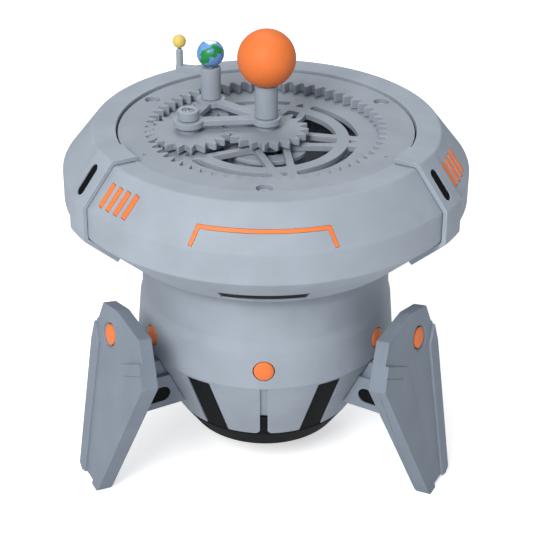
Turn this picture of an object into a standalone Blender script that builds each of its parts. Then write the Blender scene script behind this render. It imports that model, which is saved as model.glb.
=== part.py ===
"""Desktop orrery on a three-legged base.

A saucer-shaped housing carries a fixed internal gear.  Inside it a planet
gear, held by a triangular carrier, rolls between the internal gear and a
driven sun gear, and turns a small moon gear under the Earth post.

Sizes are in millimetres.  Heights are given from the top face of the gear
plate and are shifted by FLOOR_TO_PLATE, so that the feet stand on Z = 0.
Azimuths are in degrees from the front (-Y), growing towards +X.
Profiles and section lines are lists of (radius, height).
"""
import bpy
import bmesh
from math import acos, atan2, cos, degrees, hypot, pi, radians, sin, sqrt, tan
from mathutils import Matrix, Vector

# ------------------------------------------------------------------ shared sizes
MILLI = 0.001                   # metres in a millimetre
FLOOR_TO_PLATE = 141.0          # plate top above the floor
GAP = 0.3                       # gap between neighbouring pieces

# clamp bands and legs share one set of azimuths, plate screws and light slots the other
SIDES = {"left": -60.0, "right": 60.0, "back": 180.0}
BETWEEN_SIDES = {"front": 0.0, "right": 120.0, "left": -120.0}

# gear train: ring fixed, sun driven
MODULE = 1.5
TEETH_RING = 60
TEETH_SUN = 20
TEETH_PLANET = 20
TEETH_MOON = 10
FLANK_SLOPE = tan(radians(24.0))
BACKLASH = 0.4
SUN_TO_PLANET = MODULE * (TEETH_SUN + TEETH_PLANET) / 2
PLANET_TO_EARTH = MODULE * (TEETH_PLANET + TEETH_MOON) / 2
SUN_TO_EARTH = 28.4
PLANET_AZIMUTH = -83.8

# gear plate and the grille under it
PLATE_R, PLATE_THICK = 57.3, 3.7
GRILLE_TOP, GRILLE_THICK = -PLATE_THICK - GAP, 2.4
SCREW_CIRCLE_R = 53.0
SCREW_HOLE_R = 1.8

# housing corners
RIM_R, RIM_Z = 58.0, 1.2
CREASE_R, CREASE_Z = 67.4, 1.4
BELT_R, BELT_TOP, BELT_BOTTOM = 79.0, -13.6, -25.7
BASE_R, BASE_Z = 60.0, -43.2
CONE = ((CREASE_R, CREASE_Z), (BELT_R, BELT_TOP))       # upper slope
BEVEL = ((BELT_R, BELT_BOTTOM), (BASE_R, BASE_Z))       # lower slope

# body and base core corners
BODY_R = 50.9
BAND_TOP, BAND_BOTTOM = -71.3, -86.5
BAND_R = 52.2
CONE_END_R, CONE_END_Z = 37.6, -117.6
LOWER_CONE = [(BAND_R, BAND_BOTTOM), (CONE_END_R, CONE_END_Z)]
CORE_END_R, CORE_END_Z = 30.6, -127.6

# carrier faces
CARRIER_BOTTOM, CARRIER_TOP = 2.1, 4.6

# ------------------------------------------------------------------ scene
for old in list(bpy.data.objects):
    bpy.data.objects.remove(old, do_unlink=True)

PARTS = bpy.data.collections.new("orrery")
CUTTERS = bpy.data.collections.new("orrery_cutters")
bpy.context.scene.collection.children.link(PARTS)
bpy.context.scene.collection.children.link(CUTTERS)


def material(name, colour, roughness, metallic=0.0):
    made = bpy.data.materials.new(name)
    made.use_nodes = True
    shader = made.node_tree.nodes["Principled BSDF"]
    shader.inputs["Base Color"].default_value = (*colour, 1.0)
    shader.inputs["Roughness"].default_value = roughness
    shader.inputs["Metallic"].default_value = metallic
    return made


GREY = material("grey_print", colour=(0.37, 0.42, 0.48), roughness=0.62)
ORANGE = material("orange_print", colour=(0.90, 0.23, 0.055), roughness=0.5)
BLACK = material("black_print", colour=(0.012, 0.014, 0.018), roughness=0.55)
STEEL = material("steel", colour=(0.55, 0.56, 0.58), roughness=0.3, metallic=1.0)
BLUE = material("earth_paint", colour=(0.09, 0.26, 0.62), roughness=0.45)
YELLOW = material("moon_paint", colour=(0.80, 0.62, 0.16), roughness=0.5)
MOTOR = material("motor_can", colour=(0.30, 0.31, 0.33), roughness=0.4, metallic=0.8)
CELL = material("cell_wrap", colour=(0.05, 0.05, 0.06), roughness=0.4)


# ------------------------------------------------------------------ places and frames
UP = Vector((0, 0, 1))


def axis_xy(radius, azimuth):
    angle = radians(azimuth)
    return radius * sin(angle), -radius * cos(angle)


def spot(x, y, z):
    """Point in metres from millimetres, the height taken from the plate top."""
    return Vector((x, y, z + FLOOR_TO_PLATE)) * MILLI


def raised(height):
    """Shift along the local Z."""
    return Matrix.Translation((0, 0, height * MILLI))


def directions(azimuth):
    """Unit vectors outwards and along the growing azimuth."""
    angle = radians(azimuth)
    return Vector((sin(angle), -cos(angle), 0)), Vector((cos(angle), sin(angle), 0))


def frame_of(x_axis, y_axis, z_axis, origin):
    frame = Matrix((x_axis, y_axis, z_axis)).transposed().to_4x4()
    frame.translation = origin
    return frame


def height_on(line, radius):
    """Height at a radius on the straight line through two (radius, height) corners."""
    (start_r, start_z), (end_r, end_z) = line
    return start_z + (radius - start_r) * (end_z - start_z) / (end_r - start_r)


def surface_frame(line, radius, azimuth):
    """Frame on the cone through two corners, the upper one first:
    X along the azimuth, Y up the slope, Z outwards."""
    run, rise = line[1][0] - line[0][0], line[1][1] - line[0][1]
    length = hypot(run, rise)
    outward, along = directions(azimuth)
    uphill = -(outward * (run / length) + UP * (rise / length))
    origin = spot(*axis_xy(radius, azimuth), height_on(line, radius))
    return frame_of(along, uphill, along.cross(uphill), origin)


def offset_line(points, distance):
    """Parallel copy of an open line, moved to its left-hand side."""
    moved = []
    for i, (radius, z) in enumerate(points):
        normals = []
        for j in (i - 1, i):
            if 0 <= j < len(points) - 1:
                run, rise = points[j + 1][0] - points[j][0], points[j + 1][1] - points[j][1]
                length = hypot(run, rise)
                normals.append((-rise / length, run / length))
        normal_r, normal_z = (sum(n[0] for n in normals), sum(n[1] for n in normals))
        length = hypot(normal_r, normal_z)
        normal_r, normal_z = normal_r / length, normal_z / length
        reach = distance / (normal_r * normals[0][0] + normal_z * normals[0][1])
        moved.append((radius + normal_r * reach, z + normal_z * reach))
    return moved


def layer_section(line, top, bottom):
    """Closed section between two parallel copies of a line."""
    return offset_line(line, top) + offset_line(line, bottom)[::-1]


# ------------------------------------------------------------------ objects
def add(name, mesh, base, smooth=True):
    """Piece with its own copy of a base material."""
    mesh.name = name
    piece = bpy.data.objects.new(name, mesh)
    PARTS.objects.link(piece)
    own_material = base.copy()
    own_material.name = name + "_mat"
    mesh.materials.clear()
    mesh.materials.append(own_material)
    if smooth:
        mesh.shade_smooth()
        mesh.set_sharp_from_angle(angle=radians(32))
    return piece


def add_cutter(name, mesh):
    cutter = bpy.data.objects.new(name, mesh)
    CUTTERS.objects.link(cutter)
    cutter.hide_render = True
    cutter.display_type = 'WIRE'
    return cutter


def combine(target, name, mesh, mode='DIFFERENCE'):
    """Cut (or join) a helper solid into a piece with a live modifier."""
    cutter = add_cutter(name, mesh)
    modifier = target.modifiers.new(cutter.name, 'BOOLEAN')
    modifier.operation = mode
    modifier.object = cutter
    modifier.solver = 'EXACT'
    return cutter


def set_origin(piece, point):
    """Move the piece's origin to a point without moving its shape."""
    piece.data.transform(Matrix.Translation(-point))
    piece.location = point


def move_to_axis(piece, x, y):
    """Shift a piece built round the centre to the upright axis at x, y."""
    set_origin(piece, spot(0, 0, 0))
    piece.location = spot(x, y, 0)


# ------------------------------------------------------------------ meshes
def baked(helper):
    """Mesh of a helper object after its modifiers; the helper is removed."""
    depsgraph = bpy.context.evaluated_depsgraph_get()
    depsgraph.update()
    mesh = bpy.data.meshes.new_from_object(helper.evaluated_get(depsgraph))
    bpy.data.objects.remove(helper, do_unlink=True)
    return mesh


def opened(mesh, merge_distance):
    """Editable copy of a mesh with its doubled corners merged."""
    shape = bmesh.new()
    shape.from_mesh(mesh)
    bmesh.ops.remove_doubles(shape, verts=shape.verts, dist=merge_distance)
    return shape


def finished(shape, mesh=None):
    """Write a shape to a mesh, its faces turned outwards."""
    if mesh is None:
        mesh = bpy.data.meshes.new("solid")
    bmesh.ops.recalc_face_normals(shape, faces=shape.faces)
    shape.to_mesh(mesh)
    shape.free()
    return mesh


def turned_mesh(profile, segments, closed=False, base_height=FLOOR_TO_PLATE):
    """Profile turned about Z by a Screw modifier."""
    outline = bpy.data.meshes.new("profile")
    shape = bmesh.new()
    corners = [shape.verts.new((radius * MILLI, 0.0, (z + base_height) * MILLI))
               for radius, z in profile]
    for start, end in zip(corners, corners[1:]):
        shape.edges.new((start, end))
    if closed:
        shape.edges.new((corners[-1], corners[0]))
    shape.to_mesh(outline)
    shape.free()
    helper = bpy.data.objects.new("turning", outline)
    CUTTERS.objects.link(helper)
    screw = helper.modifiers.new("turn", 'SCREW')
    screw.axis = 'Z'
    screw.angle = 2 * pi
    screw.screw_offset = 0.0
    screw.steps = segments
    screw.render_steps = segments
    screw.use_merge_vertices = True
    screw.merge_threshold = 0.00001
    screw.use_smooth_shade = True
    mesh = baked(helper)
    return finished(opened(mesh, 1e-6), mesh)


def turned(name, profile, base, segments=48, closed=False, axis=None):
    """Turned piece; with an axis it is moved there and takes its origin on it."""
    piece = add(name, turned_mesh(profile, segments, closed), base)
    if axis is not None:
        move_to_axis(piece, *axis)
    return piece


def cylinder(radius, depth, segments, frame):
    """Cylinder centred on a frame, along its Z."""
    shape = bmesh.new()
    bmesh.ops.create_cone(shape, cap_ends=True, cap_tris=False, segments=segments,
                          radius1=radius * MILLI, radius2=radius * MILLI,
                          depth=depth * MILLI, matrix=frame)
    return finished(shape)


def upright_cylinder(radius, bottom, top, segments, x=0.0, y=0.0):
    return cylinder(radius, top - bottom, segments,
                    Matrix.Translation(spot(x, y, (bottom + top) / 2)))


def cylinder_circle(circle_radius, azimuths, **sizes):
    """Upright cylinders round the centre axis, as one mesh."""
    return merged([upright_cylinder(x=x, y=y, **sizes)
                   for x, y in (axis_xy(circle_radius, azimuth) for azimuth in azimuths)])


def box(size, frame):
    shape = bmesh.new()
    scale = Matrix.Diagonal((*(length * MILLI for length in size), 1.0))
    bmesh.ops.create_cube(shape, size=1.0, matrix=frame @ scale)
    return finished(shape)


def radial_box(width, depth, height, radius, top, azimuth):
    """Upright box centred at a radius and facing an azimuth."""
    place = Matrix.Translation((0, -radius * MILLI, (FLOOR_TO_PLATE + top - height / 2) * MILLI))
    return box((width, depth, height), Matrix.Rotation(radians(azimuth), 4, 'Z') @ place)


def merged(meshes):
    """Several separate solids in one mesh."""
    shape = bmesh.new()
    for mesh in meshes:
        shape.from_mesh(mesh)
    return finished(shape)


def boolean_mesh(meshes, mode='UNION'):
    """Join, cut or intersect closed meshes, one after another, into one mesh."""
    target = add_cutter("first", meshes[0])
    others = [combine(target, "other_%d" % i, mesh, mode) for i, mesh in enumerate(meshes[1:])]
    mesh = baked(target)
    for other in others:
        bpy.data.objects.remove(other, do_unlink=True)
    return mesh


def flat_mesh(outlines, bottom, top, frame=None):
    """Flat solid: closed outlines, filled and extruded along Z.

    Without a frame the outlines lie round the centre axis, in plate heights."""
    curve = bpy.data.curves.new("flat", 'CURVE')
    curve.dimensions = '2D'
    curve.fill_mode = 'BOTH'
    curve.extrude = (top - bottom) / 2 * MILLI
    for points in outlines:
        spline = curve.splines.new('POLY')
        spline.points.add(len(points) - 1)
        for corner, (x, y) in zip(spline.points, points):
            corner.co = (x * MILLI, y * MILLI, 0.0, 1.0)
        spline.use_cyclic_u = True
    helper = bpy.data.objects.new("flat", curve)
    CUTTERS.objects.link(helper)
    mesh = baked(helper)
    shape = opened(mesh, 2e-6)
    middle = (bottom + top) / 2
    place = Matrix.Translation(spot(0, 0, middle)) if frame is None else frame @ raised(middle)
    bmesh.ops.transform(shape, matrix=place, verts=shape.verts)
    return finished(shape, mesh)


def swept_sector(section, start_azimuth, end_azimuth, steps):
    """Closed section swept about Z between two azimuths."""
    shape = bmesh.new()
    corners = [shape.verts.new(spot(*axis_xy(radius, start_azimuth), z)) for radius, z in section]
    face = shape.faces.new(corners)
    bmesh.ops.spin(shape, geom=[face] + list(face.edges) + list(face.verts), axis=(0, 0, 1),
                   cent=(0, 0, 0), angle=radians(end_azimuth - start_azimuth), steps=steps,
                   use_duplicate=False)
    bmesh.ops.remove_doubles(shape, verts=shape.verts, dist=1e-7)
    return finished(shape)


def trimmed(mesh, point, normal):
    """Cut off what lies on the normal's side of a plane and cap the opening."""
    shape = opened(mesh, 1e-6)
    bmesh.ops.bisect_plane(shape, geom=shape.verts[:] + shape.edges[:] + shape.faces[:],
                           dist=1e-7, plane_co=point, plane_no=normal, clear_outer=True)
    bmesh.ops.holes_fill(shape, edges=[edge for edge in shape.edges if edge.is_boundary], sides=0)
    return finished(shape, mesh)


def ball(name, radius, x, y, z, base, segments, rings):
    shape = bmesh.new()
    bmesh.ops.create_uvsphere(shape, u_segments=segments, v_segments=rings,
                              radius=radius * MILLI)
    piece = add(name, finished(shape), base)
    piece.location = spot(x, y, z)
    return piece


# ------------------------------------------------------------------ flat outlines
def circle(radius, count, x=0.0, y=0.0):
    return [(x + radius * cos(2 * pi * i / count), y + radius * sin(2 * pi * i / count))
            for i in range(count)]


def stadium(length, width):
    """Round-ended slot along Y."""
    steps = 8
    radius = width / 2
    end = length / 2 - radius
    return [(radius * cos(start + pi * i / steps), side * end + radius * sin(start + pi * i / steps))
            for side, start in ((1, 0.0), (-1, pi)) for i in range(steps + 1)]


def gear_outline(teeth, tip, root, phase, slack, internal=False):
    """Outline of a spur gear; phase (radians from +X) is the centre of a tooth.

    Tip and root are measured from the pitch circle.  Each flank is one
    straight edge, placed by FLANK_SLOPE."""
    pitch_radius = MODULE * teeth / 2
    tip_side = -1.0 if internal else 1.0
    pitch_angle = 2 * pi / teeth

    def half_angle(radius):
        half_width = (pi * MODULE / 4 - tip_side * (radius - pitch_radius) * FLANK_SLOPE
                      - BACKLASH / 4 - slack)
        return min(half_width / radius, 0.46 * 2 * pi / teeth)

    tip_r = pitch_radius + tip_side * tip
    root_r = pitch_radius - tip_side * root
    at_tip, at_root = half_angle(tip_r), half_angle(root_r)
    tooth = ((root_r, -at_root), (tip_r, -at_tip), (tip_r, at_tip), (root_r, at_root))
    return [(radius * cos(phase + i * pitch_angle + turn), radius * sin(phase + i * pitch_angle + turn))
            for i in range(teeth) for radius, turn in tooth]


# ------------------------------------------------------------------ housing
SHELF_TOP = GRILLE_TOP - GRILLE_THICK - GAP     # shelf carrying the grille
SHELF_BOTTOM = -9.3
SHELF_IN_R = 49.2
HOUSING_PROFILE = [
    (RIM_R, RIM_Z), (CREASE_R - 0.8, CREASE_Z), (CREASE_R + 0.6, CREASE_Z - 0.55),
    (BELT_R - 0.55, BELT_TOP + 0.75), (BELT_R, BELT_TOP - 0.7),
    (BELT_R, BELT_BOTTOM + 0.5), (BELT_R - 0.5, BELT_BOTTOM - 0.5),
    (BASE_R + 0.4, BASE_Z + 0.35), (BASE_R - 0.3, BASE_Z),
    (50.0, BASE_Z), (50.0, BASE_Z + 2.6), (58.3, -41.2), (76.4, -24.6), (76.4, -14.4),
    (66.5, -1.5), (61.0, -1.5), (61.0, SHELF_BOTTOM), (SHELF_IN_R, SHELF_BOTTOM),
    (SHELF_IN_R, SHELF_TOP), (RIM_R, SHELF_TOP),
]
housing = turned("housing_shell", HOUSING_PROFILE, GREY, closed=True)

# ------------------------------------------------------------------ orange stripes
# four bars through the wall beside each clamp band, joined by a strip inside
STRIPE_IN_R, STRIPE_OUT_R = 70.75, 76.85
STRIPE_MID_R = (STRIPE_IN_R + STRIPE_OUT_R) / 2
STRIPE_WIDTH = 2.3
STRIPE_OFFSETS = [9.15 + 3.38 * i for i in range(4)]    # azimuths from the clamp band
STRIP_SIZE, STRIP_HEIGHT = (16.0, 9.0, 1.2), -3.9       # height is from the outer surface
WINDOW_CLEARANCE = 0.15
# length on the upper slope per unit of radius
SLOPE_STRETCH = hypot(BELT_R - CREASE_R, BELT_TOP - CREASE_Z) / (BELT_R - CREASE_R)


def stripe_bars(azimuth, grow, top, bottom):
    length = (STRIPE_OUT_R - STRIPE_IN_R) * SLOPE_STRETCH + 2 * grow
    bars = []
    for offset in STRIPE_OFFSETS:
        # turned on the slope so that the bars run parallel to the clamp band
        turn = Matrix.Rotation(-atan2(tan(radians(offset)), SLOPE_STRETCH), 4, 'Z')
        frame = surface_frame(CONE, STRIPE_MID_R, azimuth + offset) @ turn
        bars.append(box((STRIPE_WIDTH + 2 * grow, length, top - bottom),
                        frame @ raised((top + bottom) / 2)))
    return bars


for side, azimuth in SIDES.items():
    combine(housing, "cut_stripes_" + side,
            merged(stripe_bars(azimuth, WINDOW_CLEARANCE, top=2.0, bottom=-4.2)))
    middle = surface_frame(CONE, STRIPE_MID_R, azimuth + sum(STRIPE_OFFSETS) / 4)
    strip = box(STRIP_SIZE, middle @ raised(STRIP_HEIGHT))
    bars = stripe_bars(azimuth, 0.0, top=0.2, bottom=STRIP_HEIGHT)
    add("stripe_inlay_" + side, boolean_mesh([strip] + bars), ORANGE, smooth=False)

# ------------------------------------------------------------------ orange bracket line
# an arc across the front with two short legs down to the belt edge
INLAY_R, INLAY_WIDTH = 73.75, 1.5
INLAY_END_R = BELT_R - 0.75
INLAY_ARC_AZIMUTH, INLAY_END_AZIMUTH = 18.2, 19.4
INLAY_CLEARANCE = 0.12


def bracket_line(grow, top, bottom):
    half_run = (INLAY_WIDTH / 2 + grow) * (1.0 / SLOPE_STRETCH)
    line = [(radius, height_on(CONE, radius))
            for radius in (INLAY_R - half_run, INLAY_R + half_run)]
    half_arc = INLAY_ARC_AZIMUTH + degrees((INLAY_WIDTH / 2 + grow) / INLAY_R)
    bodies = [swept_sector(layer_section(line, top, bottom), -half_arc, half_arc, 8)]
    for hand in (-1, 1):
        arc_azimuth, end_azimuth = hand * INLAY_ARC_AZIMUTH, hand * INLAY_END_AZIMUTH
        start = surface_frame(CONE, INLAY_R, arc_azimuth).translation
        end = surface_frame(CONE, INLAY_END_R, end_azimuth).translation
        middle = surface_frame(CONE, (INLAY_R + INLAY_END_R) / 2, (arc_azimuth + end_azimuth) / 2)
        path = middle.inverted() @ end - middle.inverted() @ start
        frame = middle @ Matrix.Rotation(atan2(path.x, -path.y), 4, 'Z')
        bodies.append(box((INLAY_WIDTH + 2 * grow, path.length / MILLI + 2 * grow, top - bottom),
                          frame @ raised((top + bottom) / 2)))
    return boolean_mesh(bodies)


combine(housing, "cut_bracket", bracket_line(INLAY_CLEARANCE, top=1.5, bottom=-1.5))
add("bracket_inlay", bracket_line(0.0, top=0.15, bottom=-1.2), ORANGE, smooth=False)

# ------------------------------------------------------------------ light slots
# black sectors in the lower bevel
LIGHT_IN_R, LIGHT_OUT_R, LIGHT_HALF_AZIMUTH = 62.4, 67.2, 14.3


def light_slot(azimuth, grow, top, bottom):
    line = [(radius, height_on(BEVEL, radius)) for radius in (LIGHT_OUT_R + grow, LIGHT_IN_R - grow)]
    half_arc = LIGHT_HALF_AZIMUTH + degrees(grow / LIGHT_OUT_R)
    return swept_sector(layer_section(line, top, bottom), azimuth - half_arc, azimuth + half_arc, 6)


for side, azimuth in BETWEEN_SIDES.items():
    combine(housing, "cut_light_" + side, light_slot(azimuth, GAP, top=1.5, bottom=-1.7))
    add("light_slot_" + side, light_slot(azimuth, 0.0, top=-0.3, bottom=-1.4), BLACK)

# ------------------------------------------------------------------ clamp bands
# bands over the rim and belt, each with a black insert in a round-ended slot
CLAMP_WIDTH = 12.6
CLAMP_RISE = 2.0
CLAMP_END_R = 66.4
CLAMP_LINE = [(RIM_R + 0.4, RIM_Z), (CREASE_R, CREASE_Z), (BELT_R, BELT_TOP),
              (BELT_R, BELT_BOTTOM), (CLAMP_END_R, height_on(BEVEL, CLAMP_END_R))]
CLAMP_SLOT_R, CLAMP_SLOT_SIDE = 73.5, -1.0
CLAMP_SLOT_LENGTH, CLAMP_SLOT_WIDTH = 13.2, 4.4
INSERT_CLEARANCE = 0.5          # over the whole length and width

for side, azimuth in SIDES.items():
    sector = swept_sector(layer_section(CLAMP_LINE, CLAMP_RISE, GAP),
                          azimuth - 7.5, azimuth + 7.5, 2)
    straight_sides = radial_box(CLAMP_WIDTH, depth=60.0, height=90.0, radius=70.0, top=25.0,
                                azimuth=azimuth)
    band = add("clamp_band_" + side, boolean_mesh([sector, straight_sides], 'INTERSECT'), GREY)
    frame = (surface_frame(CONE, CLAMP_SLOT_R, azimuth)
             @ Matrix.Translation((CLAMP_SLOT_SIDE * MILLI, 0, 0)))
    combine(band, "cut_clip_" + side,
            flat_mesh([stadium(CLAMP_SLOT_LENGTH, CLAMP_SLOT_WIDTH)], -1.0, 4.0, frame))
    insert_outline = stadium(CLAMP_SLOT_LENGTH - INSERT_CLEARANCE,
                             CLAMP_SLOT_WIDTH - INSERT_CLEARANCE)
    add("slot_insert_" + side, flat_mesh([insert_outline], 0.35, 1.7, frame), BLACK)

# ------------------------------------------------------------------ ring gear plate
# half a tooth off, so that the ring shows a gap to the planet's tooth
ring_teeth = gear_outline(TEETH_RING, tip=1.45, root=1.85, slack=0.08, internal=True,
                          phase=radians(PLANET_AZIMUTH - 90) + pi / TEETH_RING)
plate = add("ring_gear_plate", flat_mesh([circle(PLATE_R, 60), ring_teeth], -PLATE_THICK, 0.0), GREY)
combine(plate, "cut_plate_heads",
        cylinder_circle(SCREW_CIRCLE_R, BETWEEN_SIDES.values(),
                        radius=3.05, bottom=-3.0, top=2.0, segments=18))
# screw holes below the heads, and small blind holes between them
combine(plate, "cut_plate_shanks", merged([
    cylinder_circle(SCREW_CIRCLE_R, BETWEEN_SIDES.values(),
                    radius=SCREW_HOLE_R, bottom=-5.0, top=-1.0, segments=10),
    cylinder_circle(52.0, SIDES.values(), radius=0.8, bottom=-1.2, top=1.0, segments=8)]))

# ------------------------------------------------------------------ star grille
GRILLE_BOTTOM = GRILLE_TOP - GRILLE_THICK
GRILLE_R, RIM_IN_R = 57.1, 35.7
RING_OUT_R, RING_IN_R = 32.3, 27.4
HUB_R, HUB_BORE_R = 9.5, 4.2
BAR_PASS = 6.5                  # distance at which each bar passes the centre axis
STAR_R, STAR_AZIMUTH = 66.0, 12.4
TANGENT_LENGTH = sqrt(STAR_R * STAR_R - BAR_PASS * BAR_PASS)
# (distance from the star's point, sideways); the bar is wider towards the rim
BAR_OUTLINE = [(STAR_R - 40.5, -1.65), (TANGENT_LENGTH - 3.0, -1.2),
               (TANGENT_LENGTH - 3.0, 1.2), (STAR_R - 40.5, 1.65)]


def star_bar(point_x, point_y, heading):
    outline = [(point_x + cos(heading) * along - sin(heading) * across,
                point_y + sin(heading) * along + cos(heading) * across)
               for along, across in BAR_OUTLINE]
    return flat_mesh([outline], GRILLE_BOTTOM + 0.2, GRILLE_TOP - 0.2)


grille_pieces = [
    flat_mesh([circle(GRILLE_R, 48), circle(RIM_IN_R, 40)], GRILLE_BOTTOM, GRILLE_TOP),
    flat_mesh([circle(RING_OUT_R, 40), circle(RING_IN_R, 40)],
              GRILLE_BOTTOM + 0.15, GRILLE_TOP - 0.1),
    flat_mesh([circle(HUB_R, 24), circle(HUB_BORE_R, 16)], GRILLE_BOTTOM, GRILLE_TOP)]
for i in range(5):
    point_x, point_y = axis_xy(STAR_R, STAR_AZIMUTH + 72.0 * i)
    for hand in (-1, 1):
        heading = atan2(-point_y, -point_x) + hand * atan2(BAR_PASS, TANGENT_LENGTH)
        grille_pieces.append(star_bar(point_x, point_y, heading))
grille = add("star_grille", boolean_mesh(grille_pieces), GREY)
combine(grille, "cut_grille_screws",
        cylinder_circle(SCREW_CIRCLE_R, BETWEEN_SIDES.values(),
                        radius=SCREW_HOLE_R, bottom=-8.0, top=-3.0, segments=10))
combine(housing, "cut_shelf_screws",
        cylinder_circle(SCREW_CIRCLE_R, BETWEEN_SIDES.values(),
                        radius=SCREW_HOLE_R, bottom=-11.0, top=-5.5, segments=10))

# ------------------------------------------------------------------ plate screws
PLATE_SCREW_PROFILE = [(0, -1.6), (2.4, -1.6), (2.75, -1.9), (2.75, -2.8), (1.5, -2.8),
                       (1.5, -11.5), (0, -11.5)]
HEX_SOCKET_R = 1.2

for side, azimuth in BETWEEN_SIDES.items():
    x, y = axis_xy(SCREW_CIRCLE_R, azimuth)
    name = "plate_screw_" + side
    screw = turned(name, PLATE_SCREW_PROFILE, GREY, segments=12, axis=(x, y))
    combine(screw, "cut_" + name,
            upright_cylinder(HEX_SOCKET_R, bottom=-2.5, top=0.5, segments=6, x=x, y=y))

# ------------------------------------------------------------------ body shell
BODY_WALL = 2.4
BODY_TOP = BASE_Z - GAP
BODY_LIP_R, BODY_LIP_BOTTOM = 40.0, -46.2
BODY_LINE = [(46.6, BODY_TOP), (48.7, -47.6), (49.6, -53.5), (49.9, -67.0),
             (BODY_R, BAND_TOP)] + LOWER_CONE
body_inside = offset_line(BODY_LINE, -BODY_WALL)
body_profile = (BODY_LINE + [(body_inside[-1][0], CONE_END_Z)] + body_inside[1:-1][::-1]
                + [(44.0, BODY_LIP_BOTTOM), (BODY_LIP_R, BODY_LIP_BOTTOM), (BODY_LIP_R, BODY_TOP)])
body = turned("body_shell", body_profile, GREY, closed=True)

# six windows in the lower cone, open at its lower edge
WINDOW_WIDTH, WINDOW_TOP = 10.3, -87.6
WINDOW_AZIMUTHS = [30 + 60 * i for i in range(6)]
# three narrow slots between window pairs: open below, a blind groove above
SLOT_WIDTH, SLOT_TOP = 3.1, -105.9
SLOT_AZIMUTHS = [120 * i for i in range(3)]
GROOVE_R, GROOVE_LENGTH, GROOVE_THICK = 47.6, 22.4, 2.4


def window_boxes(width, top, height):
    return [radial_box(width, 26.0, height, radius=46.0, top=top, azimuth=azimuth)
            for azimuth in WINDOW_AZIMUTHS]


def slot_boxes(width, top, height):
    return [radial_box(width, 26.0, height, radius=42.0, top=top, azimuth=azimuth)
            for azimuth in SLOT_AZIMUTHS]


combine(body, "cut_windows", merged(window_boxes(WINDOW_WIDTH, WINDOW_TOP, height=36.0)))
combine(body, "cut_front_slots", merged(slot_boxes(SLOT_WIDTH, SLOT_TOP, height=20.0)))
combine(body, "cut_front_grooves", merged([
    box((SLOT_WIDTH, GROOVE_LENGTH, GROOVE_THICK),
        surface_frame(LOWER_CONE, GROOVE_R, azimuth) @ Matrix.Translation((0, -1.0 * MILLI, 0)))
    for azimuth in SLOT_AZIMUTHS]))

# ------------------------------------------------------------------ body plugs
# orange plugs round the band, 60 degrees apart from the front
BODY_PLUG_Z = -79.0
BODY_PLUG_PROFILE = [(0, 0.75), (2.2, 0.6), (3.5, 0.25), (3.9, -0.2), (3.9, -2.6), (0, -2.6)]
BODY_PLUG_PLACES = ["front", "front_right", "back_right", "back", "back_left", "front_left"]


def band_frame(azimuth):
    """Frame on the band, Z outwards."""
    place = Matrix.Translation(spot(*axis_xy((BODY_R + BAND_R) / 2, azimuth), BODY_PLUG_Z))
    tilt = atan2(BAND_R - BODY_R, BAND_TOP - BAND_BOTTOM)
    return (place @ Matrix.Rotation(radians(azimuth), 4, 'Z')
            @ Matrix.Rotation(pi / 2 - tilt, 4, 'X'))


def add_plug(name, profile, frame):
    plug = add(name, turned_mesh(profile, 16, base_height=0.0), ORANGE)
    plug.matrix_world = frame


combine(body, "cut_plugs", merged([
    cylinder(radius=4.3, depth=7.0, segments=16, frame=band_frame(60 * i) @ raised(-0.5))
    for i in range(6)]))
for i, place in enumerate(BODY_PLUG_PLACES):
    add_plug("body_plug_" + place, BODY_PLUG_PROFILE, band_frame(60 * i))

# ------------------------------------------------------------------ base core
# black foot ring under the body, with a liner seen in the windows
LINER_GAP = 0.35
LINER_THICK = 1.8
LINER_TOP = BAND_BOTTOM + 2.3
FLOOR_THICK = 2.4
band_taper = (BAND_R - BODY_R) / (BAND_TOP - BAND_BOTTOM)
liner_line = [(BAND_R - (LINER_TOP - BAND_BOTTOM) * band_taper, LINER_TOP)] + LOWER_CONE
liner_out = offset_line(liner_line, -BODY_WALL - LINER_GAP)
liner_in = offset_line(liner_line, -BODY_WALL - LINER_GAP - LINER_THICK)
core_profile = liner_out + [
    (liner_out[2][0], CONE_END_Z - GAP), (CONE_END_R - 0.2, CONE_END_Z - GAP),
    (CORE_END_R + 0.3, CORE_END_Z + 0.5), (CORE_END_R - 0.4, CORE_END_Z), (0, CORE_END_Z),
    (0, CORE_END_Z + FLOOR_THICK), (28.6, CORE_END_Z + FLOOR_THICK),
    (liner_in[2][0], CONE_END_Z - 1.0), liner_in[1], liner_in[0]]
core = turned("base_core", core_profile, BLACK)


def close_liner_edge(mesh):
    """The turned profile starts and ends apart: bridge the liner's upper edge."""
    shape = bmesh.new()
    shape.from_mesh(mesh)
    bmesh.ops.bridge_loops(shape, edges=[edge for edge in shape.edges if edge.is_boundary])
    finished(shape, mesh)


close_liner_edge(core.data)

# raised pads filling the windows and the narrow slots of the body shell
PAD_SINK = 0.5                  # pad faces below the body surface
PAD_START_DROP, PAD_END_DROP = 1.2, 0.9
cone_taper = (BAND_R - CONE_END_R) / (BAND_BOTTOM - CONE_END_Z)
pad_line = [(BAND_R - PAD_START_DROP * cone_taper, BAND_BOTTOM - PAD_START_DROP),
            (CONE_END_R - PAD_END_DROP * cone_taper, CONE_END_Z - PAD_END_DROP)]
pad_ring = turned_mesh(layer_section(pad_line, -PAD_SINK, -BODY_WALL - LINER_GAP - 0.9),
                       48, closed=True)
pad_boxes = (window_boxes(WINDOW_WIDTH - 2 * GAP, WINDOW_TOP - LINER_GAP, height=40.0)
             + slot_boxes(SLOT_WIDTH - 2 * GAP, SLOT_TOP - LINER_GAP, height=24.0))
combine(core, "core_pads", boolean_mesh([pad_ring, merged(pad_boxes)], 'INTERSECT'), 'UNION')

# ------------------------------------------------------------------ legs
LEAN = radians(9.0)
LEG_R, LEG_Z = 69.9, -73.3      # plug centre on the outer face
LEG_THICK = 5.6
LEG_HANDS = {"left": 1, "right": -1, "back": 1}         # -1 mirrors the outline

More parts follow.
